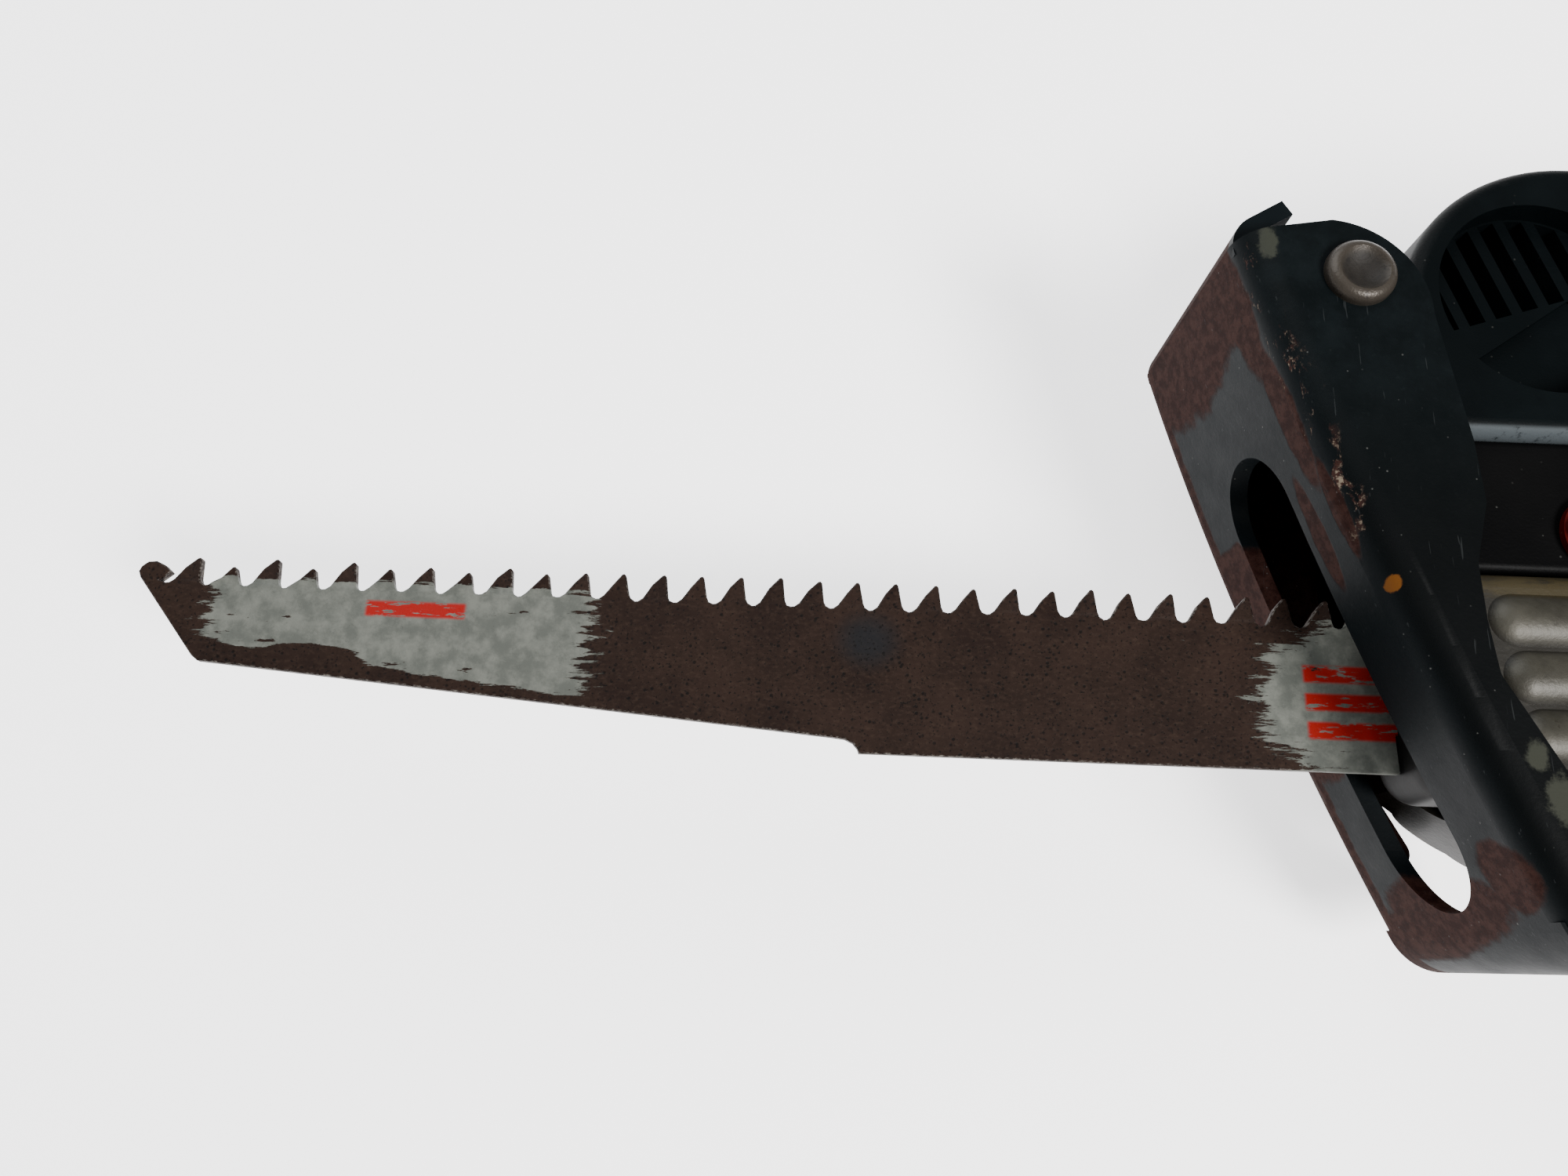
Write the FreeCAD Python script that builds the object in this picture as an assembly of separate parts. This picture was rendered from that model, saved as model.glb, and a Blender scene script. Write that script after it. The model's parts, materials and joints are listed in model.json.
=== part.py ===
"""Corded D-handle reciprocating saw, lying on its left side.

Frame: +X runs forward to the blade's tip, +Y to the tool's top (the blade's spine side),
and +Z up, which is the tool's right side.  The origin is the centre of the flat side pad
that the saw rests on, straight below the motor axis.  All sizes are in millimetres.
"""
import FreeCAD, Part
import math
import os

os.makedirs("parts", exist_ok=True)
V = FreeCAD.Vector

# ---- driving sizes: gear train and ram ----
MODULE = 1.0
PINION_TEETH = 11
GEAR_TEETH = 34
RAM_Y = 16.5             # ram axis above the motor axis
RAM_R = 8.0
STROKE = 20.0
RUN_FIT = 0.05           # radial clearance of running fits
FREE = 0.3               # gap between parts that move past each other
JOIN_GAP = 0.2           # gap between fixed mouldings and castings
RACE_R = 12.0
RING_R = 16.0
RING_HALF = 6.0
FINGER_R = 3.0
FINGER_BALL_R = 4.0
SHAFT_R = 5.0
JOURNAL_R = 3.5          # countershaft and armature shaft inside their bearings

# ---- driving sizes: gear case ----
CASE_X0 = 36.0
CASE_LENGTH = 88.0
CASE_REAR_WALL = 12.0
CASE_WALL = 3.0
CASE_CORNER_R = 8.0
FLANGE = 12.0            # nose flange, along the ram
BUSH_R = 11.0
BUSH_LENGTH = 12.0
MOTOR_BEARING_R = 11.0
MOTOR_BEARING_W = 8.0
BEARING_WEB = 2.0        # metal between the motor's and the countershaft's rear bearing
SMALL_BEARING_W = 7.0

# ---- driving sizes: motor ----
STATOR_R = 27.0
STATOR_LENGTH = 45.0
ARMATURE_R = 16.0
AIR_GAP = 0.6
ARM_SHAFT_R = 4.0
COMMUTATOR_R = 10.0
COMMUTATOR_LENGTH = 12.0
COIL_OVERHANG = 8.0
FAN_R = 25.0
FAN_WIDTH = 10.0
REAR_BEARING_W = 6.0

# ---- driving sizes: casing ----
SIDE_ROOM = 7.0          # from the stator out to the side pad
WALL = 2.5               # moulded casing wall
MOTOR_CORNER_R = 22.0
GEAR_CORNER_R = 16.0
END_ROUND = 5.0

# ---- driving sizes: handle ----
HANDLE_LENGTH = 130.0
HANDLE_TOP = 52.5
HANDLE_BOTTOM = -71.5
HANDLE_HALF = 16.0
HANDLE_ROUND = 9.0
HANDLE_CORNER_R = 30.0
GRIP_DEPTH = 36.0
BAR_DEPTH = 20.0
WEB_DEPTH = 44.0         # from the opening forward to the handle's front
OPENING_R = 16.0

# ---- driving sizes: shoe, pivot and blade ----
NOSE_REACH = 66.0        # gear case front to the shoe pivot
PIVOT_DROP = 46.3        # ram axis down to the shoe pivot
PIVOT_R = 3.0
SHEET = 2.3              # shoe sheet thickness
SHOE_HALF = 20.4
SHOE_BEND_R = 4.0
SLOT_HALF = 8.0
SLOT_LOW = -30.0         # slot ends, from the ram axis
SLOT_HIGH = 27.5
TOOTH_PITCH = 5.0
TOOTH_DEPTH = 3.5
TOOTH_COUNT = 31
BLADE_THICK = 1.25
BLADE_HEIGHT = 22.3

# ---- derived: across the tool ----
HALF_WIDTH = STATOR_R + SIDE_ROOM
MID = HALF_WIDTH
SHAFT_Y = -MODULE * (PINION_TEETH + GEAR_TEETH) / 2
PIVOT_Y = RAM_Y - PIVOT_DROP
SMALL_BEARING_R = -SHAFT_Y - MOTOR_BEARING_R - BEARING_WEB
MOTOR_TOP = STATOR_R + 7.5
MOTOR_BOTTOM = -STATOR_R - 6.5
GEAR_TOP = RAM_Y + 25.5
GEAR_BOTTOM = SHAFT_Y - MODULE * GEAR_TEETH / 2 - 9.5
CASE_HALF = HALF_WIDTH - 5.0
CASE_TOP = GEAR_TOP - 5.0
CASE_BOTTOM = GEAR_BOTTOM + 4.5

# ---- derived: along the tool ----
CASE_X1 = CASE_X0 + CASE_LENGTH
GEAR_REAR_X = CASE_X0 - 6.0
GEAR_FRONT_X = CASE_X1 + FLANGE + 8.0
MOTOR_FRONT_X = CASE_X0 + 8.0
PIVOT_X = CASE_X1 + NOSE_REACH
MOTOR_BEARING_X = CASE_X0 + 2.0
COUNTER_REAR_X = CASE_X0 + 4.0
COUNTER_FRONT_X = CASE_X1 - 1.0
PINION_X0 = CASE_X0 + CASE_REAR_WALL + 2.0
PINION_LENGTH = 14.0
DRIVEN_X0 = PINION_X0 + 2.0
DRIVEN_WIDTH = PINION_LENGTH - 4.0
REAR_BUSH_X = DRIVEN_X0 + DRIVEN_WIDTH + 10.0
WOBBLE_X = CASE_X1 - 20.0          # middle of the wobble race
FAN_X0 = CASE_X0 - FAN_WIDTH - 4.0
STATOR_X1 = FAN_X0 - COIL_OVERHANG - 4.0
STATOR_X0 = STATOR_X1 - STATOR_LENGTH
COMMUTATOR_X1 = STATOR_X0 - COIL_OVERHANG - 3.0
COMMUTATOR_X0 = COMMUTATOR_X1 - COMMUTATOR_LENGTH
REAR_BEARING_X = COMMUTATOR_X0 - REAR_BEARING_W - 6.0
MOTOR_REAR_X = REAR_BEARING_X - 10.0
HANDLE_FRONT_X = MOTOR_REAR_X + 20.0
HANDLE_REAR_X = HANDLE_FRONT_X - HANDLE_LENGTH
OPENING_REAR_X = HANDLE_REAR_X + GRIP_DEPTH
OPENING_FRONT_X = HANDLE_FRONT_X - WEB_DEPTH
OPENING_TOP = HANDLE_TOP - BAR_DEPTH
OPENING_BOTTOM = HANDLE_BOTTOM + BAR_DEPTH
FINGER_LENGTH = RAM_Y - SHAFT_Y
FINGER_TILT = math.degrees(STROKE / 2 / FINGER_LENGTH)

X = V(1, 0, 0)
Y = V(0, 1, 0)
Z = V(0, 0, 1)


# ---- general helpers ----
def box(x0, x1, y0, y1, z0, z1):
    return Part.makeBox(x1 - x0, y1 - y0, z1 - z0, V(x0, y0, z0))


def rod_x(x0, x1, radius, y=0.0, z=None):
    return Part.makeCylinder(radius, x1 - x0, V(x0, y, MID if z is None else z), X)


def rod_z(x, y, z0, z1, radius):
    return Part.makeCylinder(radius, z1 - z0, V(x, y, z0), Z)


def tube_x(x0, x1, outer, inner, y=0.0):
    return rod_x(x0, x1, outer, y).cut(rod_x(x0 - 1, x1 + 1, inner, y))


def outline(corners):
    """Closed face in the XY plane from (x, y, corner radius) triples."""
    count = len(corners)
    starts, ends, edges = [], [], []
    for i, (x, y, radius) in enumerate(corners):
        here = V(x, y, 0)
        before = V(*corners[i - 1][:2], 0) - here
        after = V(*corners[(i + 1) % count][:2], 0) - here
        before.normalize()
        after.normalize()
        half = before.getAngle(after) / 2
        reach = radius / math.tan(half)
        first, last = here + before * reach, here + after * reach
        if radius > 0:
            bisector = (before + after).normalize()
            middle = here + bisector * (radius / math.sin(half) - radius)
            edges.append((i, Part.Arc(first, middle, last).toShape()))
        starts.append(first)
        ends.append(last)
    arcs = dict(edges)
    loop = []
    for i in range(count):
        if i in arcs:
            loop.append(arcs[i])
        following = starts[(i + 1) % count]
        if (following - ends[i]).Length > 1e-6:
            loop.append(Part.LineSegment(ends[i], following).toShape())
    return Part.Face(Part.Wire(loop))


def slab(corners, z0, z1):
    face = outline(corners)
    face.translate(V(0, 0, z0))
    return face.extrude(V(0, 0, z1 - z0))


def bar_x(x0, x1, y0, y1, half, radius):
    """Bar along X with a rounded rectangular section, centred on the mid plane."""
    face = outline([(y0, -half, radius), (y1, -half, radius), (y1, half, radius), (y0, half, radius)])
    face.rotate(V(0, 0, 0), V(1, 1, 1), 120)
    face.translate(V(x0, 0, MID))
    return face.extrude(V(x1 - x0, 0, 0))


def edges_at(shape, test):
    return [edge for edge in shape.Edges if test(edge.BoundBox)]


def fuse_all(shapes):
    return shapes[0].multiFuse(shapes[1:]).removeSplitter() if len(shapes) > 1 else shapes[0]


def save(name, shape):
    if shape.ShapeType == "Compound" and len(shape.Solids) == 1:
        shape = shape.Solids[0]
    shape.exportStep("parts/" + name + ".step")


# ---- casing ----
def motor_block(t):
    block = bar_x(MOTOR_REAR_X + t, MOTOR_FRONT_X, MOTOR_BOTTOM + t, MOTOR_TOP - t,
                  HALF_WIDTH - t, MOTOR_CORNER_R - t)
    rear = edges_at(block, lambda b: b.XMax < MOTOR_REAR_X + t + 0.01)
    return block.makeFillet(END_ROUND, rear)


def gear_block(t):
    block = bar_x(GEAR_REAR_X + t, GEAR_FRONT_X - t, GEAR_BOTTOM + t, GEAR_TOP - t,
                  HALF_WIDTH - t, GEAR_CORNER_R - t)
    ends = edges_at(block, lambda b: b.XLength < 0.01)
    return block.makeFillet(END_ROUND, ends)


BOSS_FRONT_X = PIVOT_X - 7.7
BOSS_BOTTOM = PIVOT_Y - 20.0
BOSS_TOP = RAM_Y - 27.5
BOSS_HALF = 17.0
BOSS_R = 23.3
BOSS_REAR_X = CASE_X1 - 4.0


def boss_block(t):
    corners = [(BOSS_REAR_X, BOSS_BOTTOM + t, 0), (BOSS_FRONT_X - t, BOSS_BOTTOM + t, BOSS_R - t),
               (BOSS_FRONT_X - t, BOSS_TOP - t, 6.0), (BOSS_REAR_X, BOSS_TOP - t, 0)]
    block = slab(corners, MID - BOSS_HALF + t, MID + BOSS_HALF - t)
    rim = [e for e in block.Edges if e.BoundBox.ZLength < 0.01 and e.BoundBox.XMax > BOSS_REAR_X + 1
           and e.BoundBox.YMin < BOSS_TOP - t - 1]
    return block.makeFillet(2.0, rim)


def handle_block(t):
    r = HANDLE_CORNER_R - t
    x0, x1 = HANDLE_REAR_X + t, HANDLE_FRONT_X - t
    y0, y1 = HANDLE_BOTTOM + t, HANDLE_TOP - t
    outer = slab([(x0, y0, r), (x1, y0, r), (x1, y1, r), (x0, y1, r)],
                 MID - HANDLE_HALF + t, MID + HANDLE_HALF - t)
    r = OPENING_R + t
    x0, x1 = OPENING_REAR_X - t, OPENING_FRONT_X + t
    y0, y1 = OPENING_BOTTOM - t, OPENING_TOP + t
    hole = slab([(x0, y0, r), (x1, y0, r), (x1, y1, r), (x0, y1, r)], 0, 2 * MID)
    ring = outer.cut(hole)
    rims = edges_at(ring, lambda b: b.ZLength < 0.01)
    return ring.makeFillet(HANDLE_ROUND - t, rims)


def casing_solid(t):
    return fuse_all([motor_block(t), gear_block(t), boss_block(t), handle_block(t)])


# ---- gear case and nose ----
NOSE_X0 = CASE_X1
NOSE_X1 = PIVOT_X - 11.0
NOSE_HALF = RAM_R + 8.2
NOSE_LOW_HALF = NOSE_HALF - 3.2
NOSE_TOP = RAM_Y + 21.0
NOSE_RIM = RAM_Y - 10.3
NOSE_BOTTOM = RAM_Y - 17.0
BORE_HALF = NOSE_HALF - 7.2
BORE_TOP = RAM_Y + 16.0
BORE_BOTTOM = RAM_Y - 14.0
RIB_COUNT = 4
RIB_PITCH = 6.7
RIB_RADIUS = 4.2
RIB_RISE = 1.4
FOOT_THICK = 4.0
SCREW_INSET = 6.0        # case screws, in from the case's sides
CASE_SCREW_R = 2.0
CASE_SCREW_HEAD_R = 3.6
CASE_SCREW_HEAD = 2.6
BRACKET_SCREW_Z = 10.0   # bracket screws, each side of the mid plane
BRACKET_SCREW_X0 = COUNTER_FRONT_X + SMALL_BEARING_W + 1.0


def gear_case():
    outer = bar_x(CASE_X0, CASE_X1, CASE_BOTTOM, CASE_TOP, CASE_HALF, CASE_CORNER_R)
    inner = bar_x(CASE_X0 + CASE_REAR_WALL, CASE_X1 + 1, CASE_BOTTOM + CASE_WALL, CASE_TOP - CASE_WALL,
                  CASE_HALF - CASE_WALL, CASE_CORNER_R - CASE_WALL)
    web = bar_x(REAR_BUSH_X, REAR_BUSH_X + BUSH_LENGTH, RAM_Y - BUSH_R - 2.5, CASE_TOP - 1,
                CASE_HALF - 1, 4.0)
    posts = [rod_x(CASE_X1 - 20, CASE_X1, CASE_SCREW_R + 2.5, y, z) for y, z in case_screw_places()]
    case = fuse_all([outer.cut(inner), web] + [p.common(outer) for p in posts])
    bores = [rod_x(REAR_BUSH_X - 1, REAR_BUSH_X + BUSH_LENGTH + 1, BUSH_R, RAM_Y),
             rod_x(CASE_X0 - 1, CASE_X0 + CASE_REAR_WALL + 1, RAM_R, RAM_Y),
             rod_x(CASE_X0 - 1, MOTOR_BEARING_X + MOTOR_BEARING_W, MOTOR_BEARING_R, 0),
             rod_x(CASE_X0, PINION_X0, MOTOR_BEARING_R - 3.5, 0),
             rod_x(COUNTER_REAR_X, PINION_X0, SMALL_BEARING_R, SHAFT_Y)]
    bores += [rod_x(CASE_X1 - 16, CASE_X1 + 1, CASE_SCREW_R, y, z) for y, z in case_screw_places()]
    return case.cut(bores[0].multiFuse(bores[1:]))


def case_screw_places():
    return [(y, MID + side * (CASE_HALF - SCREW_INSET))
            for y in (CASE_BOTTOM + SCREW_INSET, CASE_TOP - SCREW_INSET) for side in (-1, 1)]


def screw_x(x0, seat, y, z):
    """Pan-head screw along X with its tip at x0 and its head seated at seat."""
    shank = rod_x(x0, seat, CASE_SCREW_R, y, z)
    return shank.fuse(rod_x(seat, seat + CASE_SCREW_HEAD, CASE_SCREW_HEAD_R, y, z))


def case_screws():
    flange_front = NOSE_X0 + FLANGE
    screws = [screw_x(CASE_X1 - 14, flange_front, y, z) for y, z in case_screw_places()]
    screws += [screw_x(BRACKET_SCREW_X0, flange_front + FOOT_THICK, PIVOT_Y, MID + side * BRACKET_SCREW_Z)
               for side in (-1, 1)]
    return Part.makeCompound(screws)


def nose_casting():
    flange = bar_x(NOSE_X0, NOSE_X0 + FLANGE, CASE_BOTTOM, CASE_TOP, CASE_HALF, CASE_CORNER_R)
    barrel = bar_x(NOSE_X0 + FLANGE - 4, NOSE_X1, NOSE_RIM, NOSE_TOP, NOSE_HALF, 2.0)
    barrel = barrel.makeFillet(1.2, edges_at(barrel, lambda b: b.XMin > NOSE_X1 - 0.01))
    lower = bar_x(NOSE_X0 + FLANGE - 4, NOSE_X1 - 1, NOSE_BOTTOM, RAM_Y, NOSE_LOW_HALF, 4.0)
    ribs = []
    for side in (-1, 1):
        for i in range(RIB_COUNT):
            y = RAM_Y - 4.4 + RIB_PITCH * i
            centre = MID + side * (NOSE_HALF + RIB_RISE - RIB_RADIUS)
            front = NOSE_X1 - 4.3 - 0.8 * i
            finger = rod_x(NOSE_X0 + FLANGE - 2, front, RIB_RADIUS, y, centre)
            tip = Part.makeSphere(RIB_RADIUS, V(front, y, centre))
            ribs.append(finger.fuse(tip))
    body = fuse_all([flange, barrel, lower] + ribs)
    hollow = bar_x(NOSE_X0 + FLANGE, NOSE_X1 + 1, BORE_BOTTOM, BORE_TOP, BORE_HALF, 3.0)
    cuts = [rod_x(NOSE_X0 - 1, NOSE_X0 + FLANGE + 1, BUSH_R, RAM_Y),
            rod_x(NOSE_X0 - 1, NOSE_X0 + SMALL_BEARING_W - 1, SMALL_BEARING_R, SHAFT_Y),
            rod_x(NOSE_X0, NOSE_X0 + SMALL_BEARING_W + 2, SMALL_BEARING_R - 3.5, SHAFT_Y)]
    cuts += [rod_x(NOSE_X0 - 1, NOSE_X0 + FLANGE + 1, CASE_SCREW_R, y, z) for y, z in case_screw_places()]
    cuts += [rod_x(BRACKET_SCREW_X0, NOSE_X0 + FLANGE + 1, CASE_SCREW_R, PIVOT_Y, z)
             for z in (MID - BRACKET_SCREW_Z, MID + BRACKET_SCREW_Z)]
    bevel = [(-11.0, 4.0), (-5.0, 4.0), (-5.0, 25.0), (-30.0, 25.0), (-12.5, 11.5)]
    cuts.append(slab([tuple(tool_point(*corner))[:2] + (0,) for corner in bevel], 0, 2 * MID))
    return body.cut(hollow.multiFuse(cuts))


SLEEVE_X1 = PIVOT_X - 8.0
SLEEVE_HALF = NOSE_LOW_HALF + 2.5
SLEEVE_TOP = NOSE_RIM - JOIN_GAP
SLEEVE_BOTTOM = BOSS_TOP + 0.1
KNOB_X = PIVOT_X - 27.5
KNOB_Y = RAM_Y - 15.2
KNOB_R = 5.0
KNOB_STEM_R = 2.0
KNOB_BAR = 4.4           # half length of the knob's finger bar


def nose_sleeve():
    """Black moulded trough that carries the nose's underside and the boss's top."""
    body = bar_x(GEAR_FRONT_X + JOIN_GAP, SLEEVE_X1, SLEEVE_BOTTOM, SLEEVE_TOP, SLEEVE_HALF, 1.0)
    seat = box(GEAR_FRONT_X - 1, SLEEVE_X1 + 1, NOSE_BOTTOM - 0.1, SLEEVE_TOP + 1,
               MID - NOSE_LOW_HALF - 0.1, MID + NOSE_LOW_HALF + 0.1)
    hollow = box(GEAR_FRONT_X - 1, SLEEVE_X1 - 3, SLEEVE_BOTTOM + 2, NOSE_BOTTOM - 2.5,
                 MID - 11, MID + 11)
    knob_hole = rod_z(KNOB_X, KNOB_Y, MID + NOSE_LOW_HALF - 1, MID + SLEEVE_HALF + 1,
                      KNOB_STEM_R + RUN_FIT)
    return body.cut(seat).cut(hollow).cut(knob_hole)


def selector_knob():
    top = MID + SLEEVE_HALF
    base = rod_z(KNOB_X, KNOB_Y, top + 0.1, top + 1.0, KNOB_R)
    half, end_r = 1.3, 1.2
    bar = slab([(KNOB_X - KNOB_BAR, KNOB_Y - half, end_r), (KNOB_X + KNOB_BAR, KNOB_Y - half, end_r),
                (KNOB_X + KNOB_BAR, KNOB_Y + half, end_r), (KNOB_X - KNOB_BAR, KNOB_Y + half, end_r)],
               top + 0.5, top + 2.2)
    stem = rod_z(KNOB_X, KNOB_Y, MID + NOSE_LOW_HALF + FREE, top + 0.5, KNOB_STEM_R)
    return fuse_all([base, bar, stem])


# ---- casing details ----
GRILLE_X = PIVOT_X - 25.0
GRILLE_Y = PIVOT_Y - 0.2
GRILLE_R = 13.3
GRILLE_DEPTH = 3.2
GRILLE_FLOOR = 3.0
LOUVRE_PITCH = 3.7
LOUVRE_WIDTH = 2.2
LOUVRE_SPAN = 3          # louvres each side of the middle one
LOUVRE_LEAN = 18.5       # degrees from the upright
POCKET_LEAN = 35.0       # degrees, the edge where the louvres end


def grille_tools(side):
    """Solid that backs the round recess, and what is cut from it, on one side of the casing."""
    face = MID + side * BOSS_HALF
    inner = face - side * (GRILLE_DEPTH + GRILLE_FLOOR)
    low, high = sorted((face - side * 1.0, inner))
    backing = rod_z(GRILLE_X, GRILLE_Y, low, high, GRILLE_R + 2.0)
    low, high = sorted((face + side * 2, face - side * GRILLE_DEPTH))
    recess = rod_z(GRILLE_X, GRILLE_Y, low, high, GRILLE_R)
    low, high = sorted((face, inner - side * 1.0))
    louvres = []
    for i in range(-LOUVRE_SPAN, LOUVRE_SPAN + 1):
        x = GRILLE_X + i * LOUVRE_PITCH
        bar = box(x - LOUVRE_WIDTH / 2, x + LOUVRE_WIDTH / 2, GRILLE_Y - GRILLE_R - 2, GRILLE_Y, low, high)
        bar.rotate(V(GRILLE_X, GRILLE_Y, MID), Z, LOUVRE_LEAN)
        louvres.append(bar.common(rod_z(GRILLE_X, GRILLE_Y, low, high, GRILLE_R - 0.3)))
    low, high = sorted((face, face - side * (GRILLE_DEPTH + 1.6)))
    pocket = rod_z(GRILLE_X, GRILLE_Y, low, high, GRILLE_R - 0.3)
    keep = box(GRILLE_X - 40, GRILLE_X + 40, GRILLE_Y - 40, GRILLE_Y + 1.6, low - 1, high + 1)
    keep.rotate(V(GRILLE_X, GRILLE_Y, MID), Z, POCKET_LEAN)
    return backing, recess.multiFuse(louvres + [pocket.cut(keep)])


THIN_SEAT = HANDLE_HALF - 3.0     # casing screws: head seats off the mid plane
DEEP_SEAT = HALF_WIDTH - 14.0
CASING_SCREWS = [(HANDLE_REAR_X + 18.0, HANDLE_TOP - 12.5, THIN_SEAT),
                 (HANDLE_REAR_X + 18.0, HANDLE_BOTTOM + 13.5, THIN_SEAT),
                 (OPENING_FRONT_X + 16.0, HANDLE_TOP - 9.5, THIN_SEAT),
                 (OPENING_FRONT_X + 16.0, HANDLE_BOTTOM + 10.5, THIN_SEAT),
                 (GEAR_FRONT_X + 3.0, PIVOT_Y - 12.5, BOSS_HALF - 4.0),
                 (GEAR_REAR_X - 4.0, MOTOR_TOP - 4.5, DEEP_SEAT),
                 (MOTOR_REAR_X + 20.0, MOTOR_TOP - 5.0, DEEP_SEAT),
                 (MOTOR_REAR_X + 20.0, MOTOR_BOTTOM + 5.0, DEEP_SEAT)]
POST_R = 4.2
SCREW_R = 1.8
SCREW_HEAD_R = 3.4
SCREW_HEAD = 2.4
DRIVE_R = 1.5


def casing_screws():
    screws = []
    for x, y, seat in CASING_SCREWS:
        shank = rod_z(x, y, MID - seat + 3, MID + seat - SCREW_HEAD, SCREW_R)
        head = rod_z(x, y, MID + seat - SCREW_HEAD, MID + seat - 0.2, SCREW_HEAD_R)
        drive = rod_z(x, y, MID + seat - 1.6, MID + seat, DRIVE_R)
        screws.append(head.fuse(shank).cut(drive))
    return Part.makeCompound(screws)


TRIGGER_X = OPENING_REAR_X - 5.0
TRIGGER_Y = 4.0
TRIGGER_LENGTH = 42.0
TRIGGER_HALF = 6.5
TRIGGER_OUT = 11.0
SWITCH_X0 = HANDLE_REAR_X + 4.5
SWITCH_X1 = SWITCH_X0 + 16.0
SWITCH_Y0 = TRIGGER_Y - TRIGGER_LENGTH
SWITCH_Y1 = SWITCH_Y0 + 30.0
SWITCH_HALF = 9.0
PIN_R = 1.5
PIN_HALF = 12.0
BUTTON_X = HANDLE_REAR_X + 19.0
BUTTON_Y = TRIGGER_Y + 10.0
BUTTON_R = 5.0
BUTTON_TRAVEL = 3.0
DIAL_X = HANDLE_REAR_X + 60.0
DIAL_R = 9.5
DIAL_Y = HANDLE_TOP - DIAL_R + 2.5
DIAL_HALF = 3.0
DIAL_AXLE_HALF = 9.0
GLAND_X = HANDLE_REAR_X + 40.0
GLAND_R = 5.5
GLAND_BORE_R = 3.6
GLAND_LENGTH = 14.0
VENT_PITCH = 6.0
VENT_HALF = 1.4
VENT_REACH = 11.0        # vents reach this far above and below the motor axis


def casing_cuts():
    """Everything that opens the casing: vents, trigger window, dial slot, holes and seats."""
    cuts = []
    for side in (-1, 1):
        low, high = sorted((MID + side * (HALF_WIDTH - WALL - 1), MID + side * (HALF_WIDTH + 1)))
        for first, count in ((COMMUTATOR_X0 - 6, 5), (FAN_X0 - 8, 4)):
            for x in (first + VENT_PITCH * i for i in range(count)):
                near, far, end_r = x - VENT_HALF, x + VENT_HALF, VENT_HALF - 0.1
                cuts.append(slab([(near, -VENT_REACH, end_r), (far, -VENT_REACH, end_r),
                                  (far, VENT_REACH, end_r), (near, VENT_REACH, end_r)], low, high))
    cuts.append(box(OPENING_REAR_X - 6, OPENING_REAR_X + 2, TRIGGER_Y - TRIGGER_LENGTH - 3.5, TRIGGER_Y + 5.5,
                    MID - TRIGGER_HALF - 0.4, MID + TRIGGER_HALF + 0.4))
    cuts.append(box(DIAL_X - DIAL_R - 1, DIAL_X + DIAL_R + 1, HANDLE_TOP - 6, HANDLE_TOP + 1,
                    MID - DIAL_HALF - 0.4, MID + DIAL_HALF + 0.4))
    cuts.append(rod_z(BUTTON_X, BUTTON_Y, MID + HANDLE_HALF - 6, MID + HANDLE_HALF + 2, BUTTON_R + FREE))
    cuts.append(Part.makeCylinder(GLAND_R, 8, V(GLAND_X, HANDLE_BOTTOM - 1, MID), Y))
    cuts.append(bar_x(GEAR_FRONT_X - 8, GEAR_FRONT_X + 1, NOSE_RIM - JOIN_GAP, NOSE_TOP + JOIN_GAP,
                      NOSE_HALF + RIB_RISE + JOIN_GAP, 2.0))
    cuts.append(bar_x(GEAR_FRONT_X - 8, GEAR_FRONT_X + 1, NOSE_BOTTOM - JOIN_GAP, RAM_Y,
                      NOSE_LOW_HALF + JOIN_GAP, 3.0))
    cuts.append(lug_arm(JOIN_GAP))
    return cuts


def casing_ribs():
    """Inner walls that seat the stator, the rear bearing and the gear case."""
    walls = []
    for x in (STATOR_X0 + 6, STATOR_X1 - 9):
        wall = box(x, x + 3, MOTOR_BOTTOM, MOTOR_TOP, 0, 2 * MID)
        walls.append(wall.cut(rod_x(x - 1, x + 4, STATOR_R)))
    wall = box(REAR_BEARING_X, REAR_BEARING_X + REAR_BEARING_W, -SMALL_BEARING_R - 3.5, SMALL_BEARING_R + 3.5,
               0, 2 * MID)
    walls.append(wall.cut(rod_x(REAR_BEARING_X - 1, REAR_BEARING_X + REAR_BEARING_W + 1, SMALL_BEARING_R)))
    for x in (CASE_X0 + 26, CASE_X1 - 12):
        wall = box(x, x + 3, GEAR_BOTTOM, GEAR_TOP, 0, 2 * MID)
        walls.append(wall.cut(bar_x(x - 1, x + 4, CASE_BOTTOM, CASE_TOP, CASE_HALF, CASE_CORNER_R)))
    return walls


SEAM_X = GEAR_REAR_X + 8.0         # where the front covers meet the motor shells
SEAM_GAP = 0.02
FAR = 600.0


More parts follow.
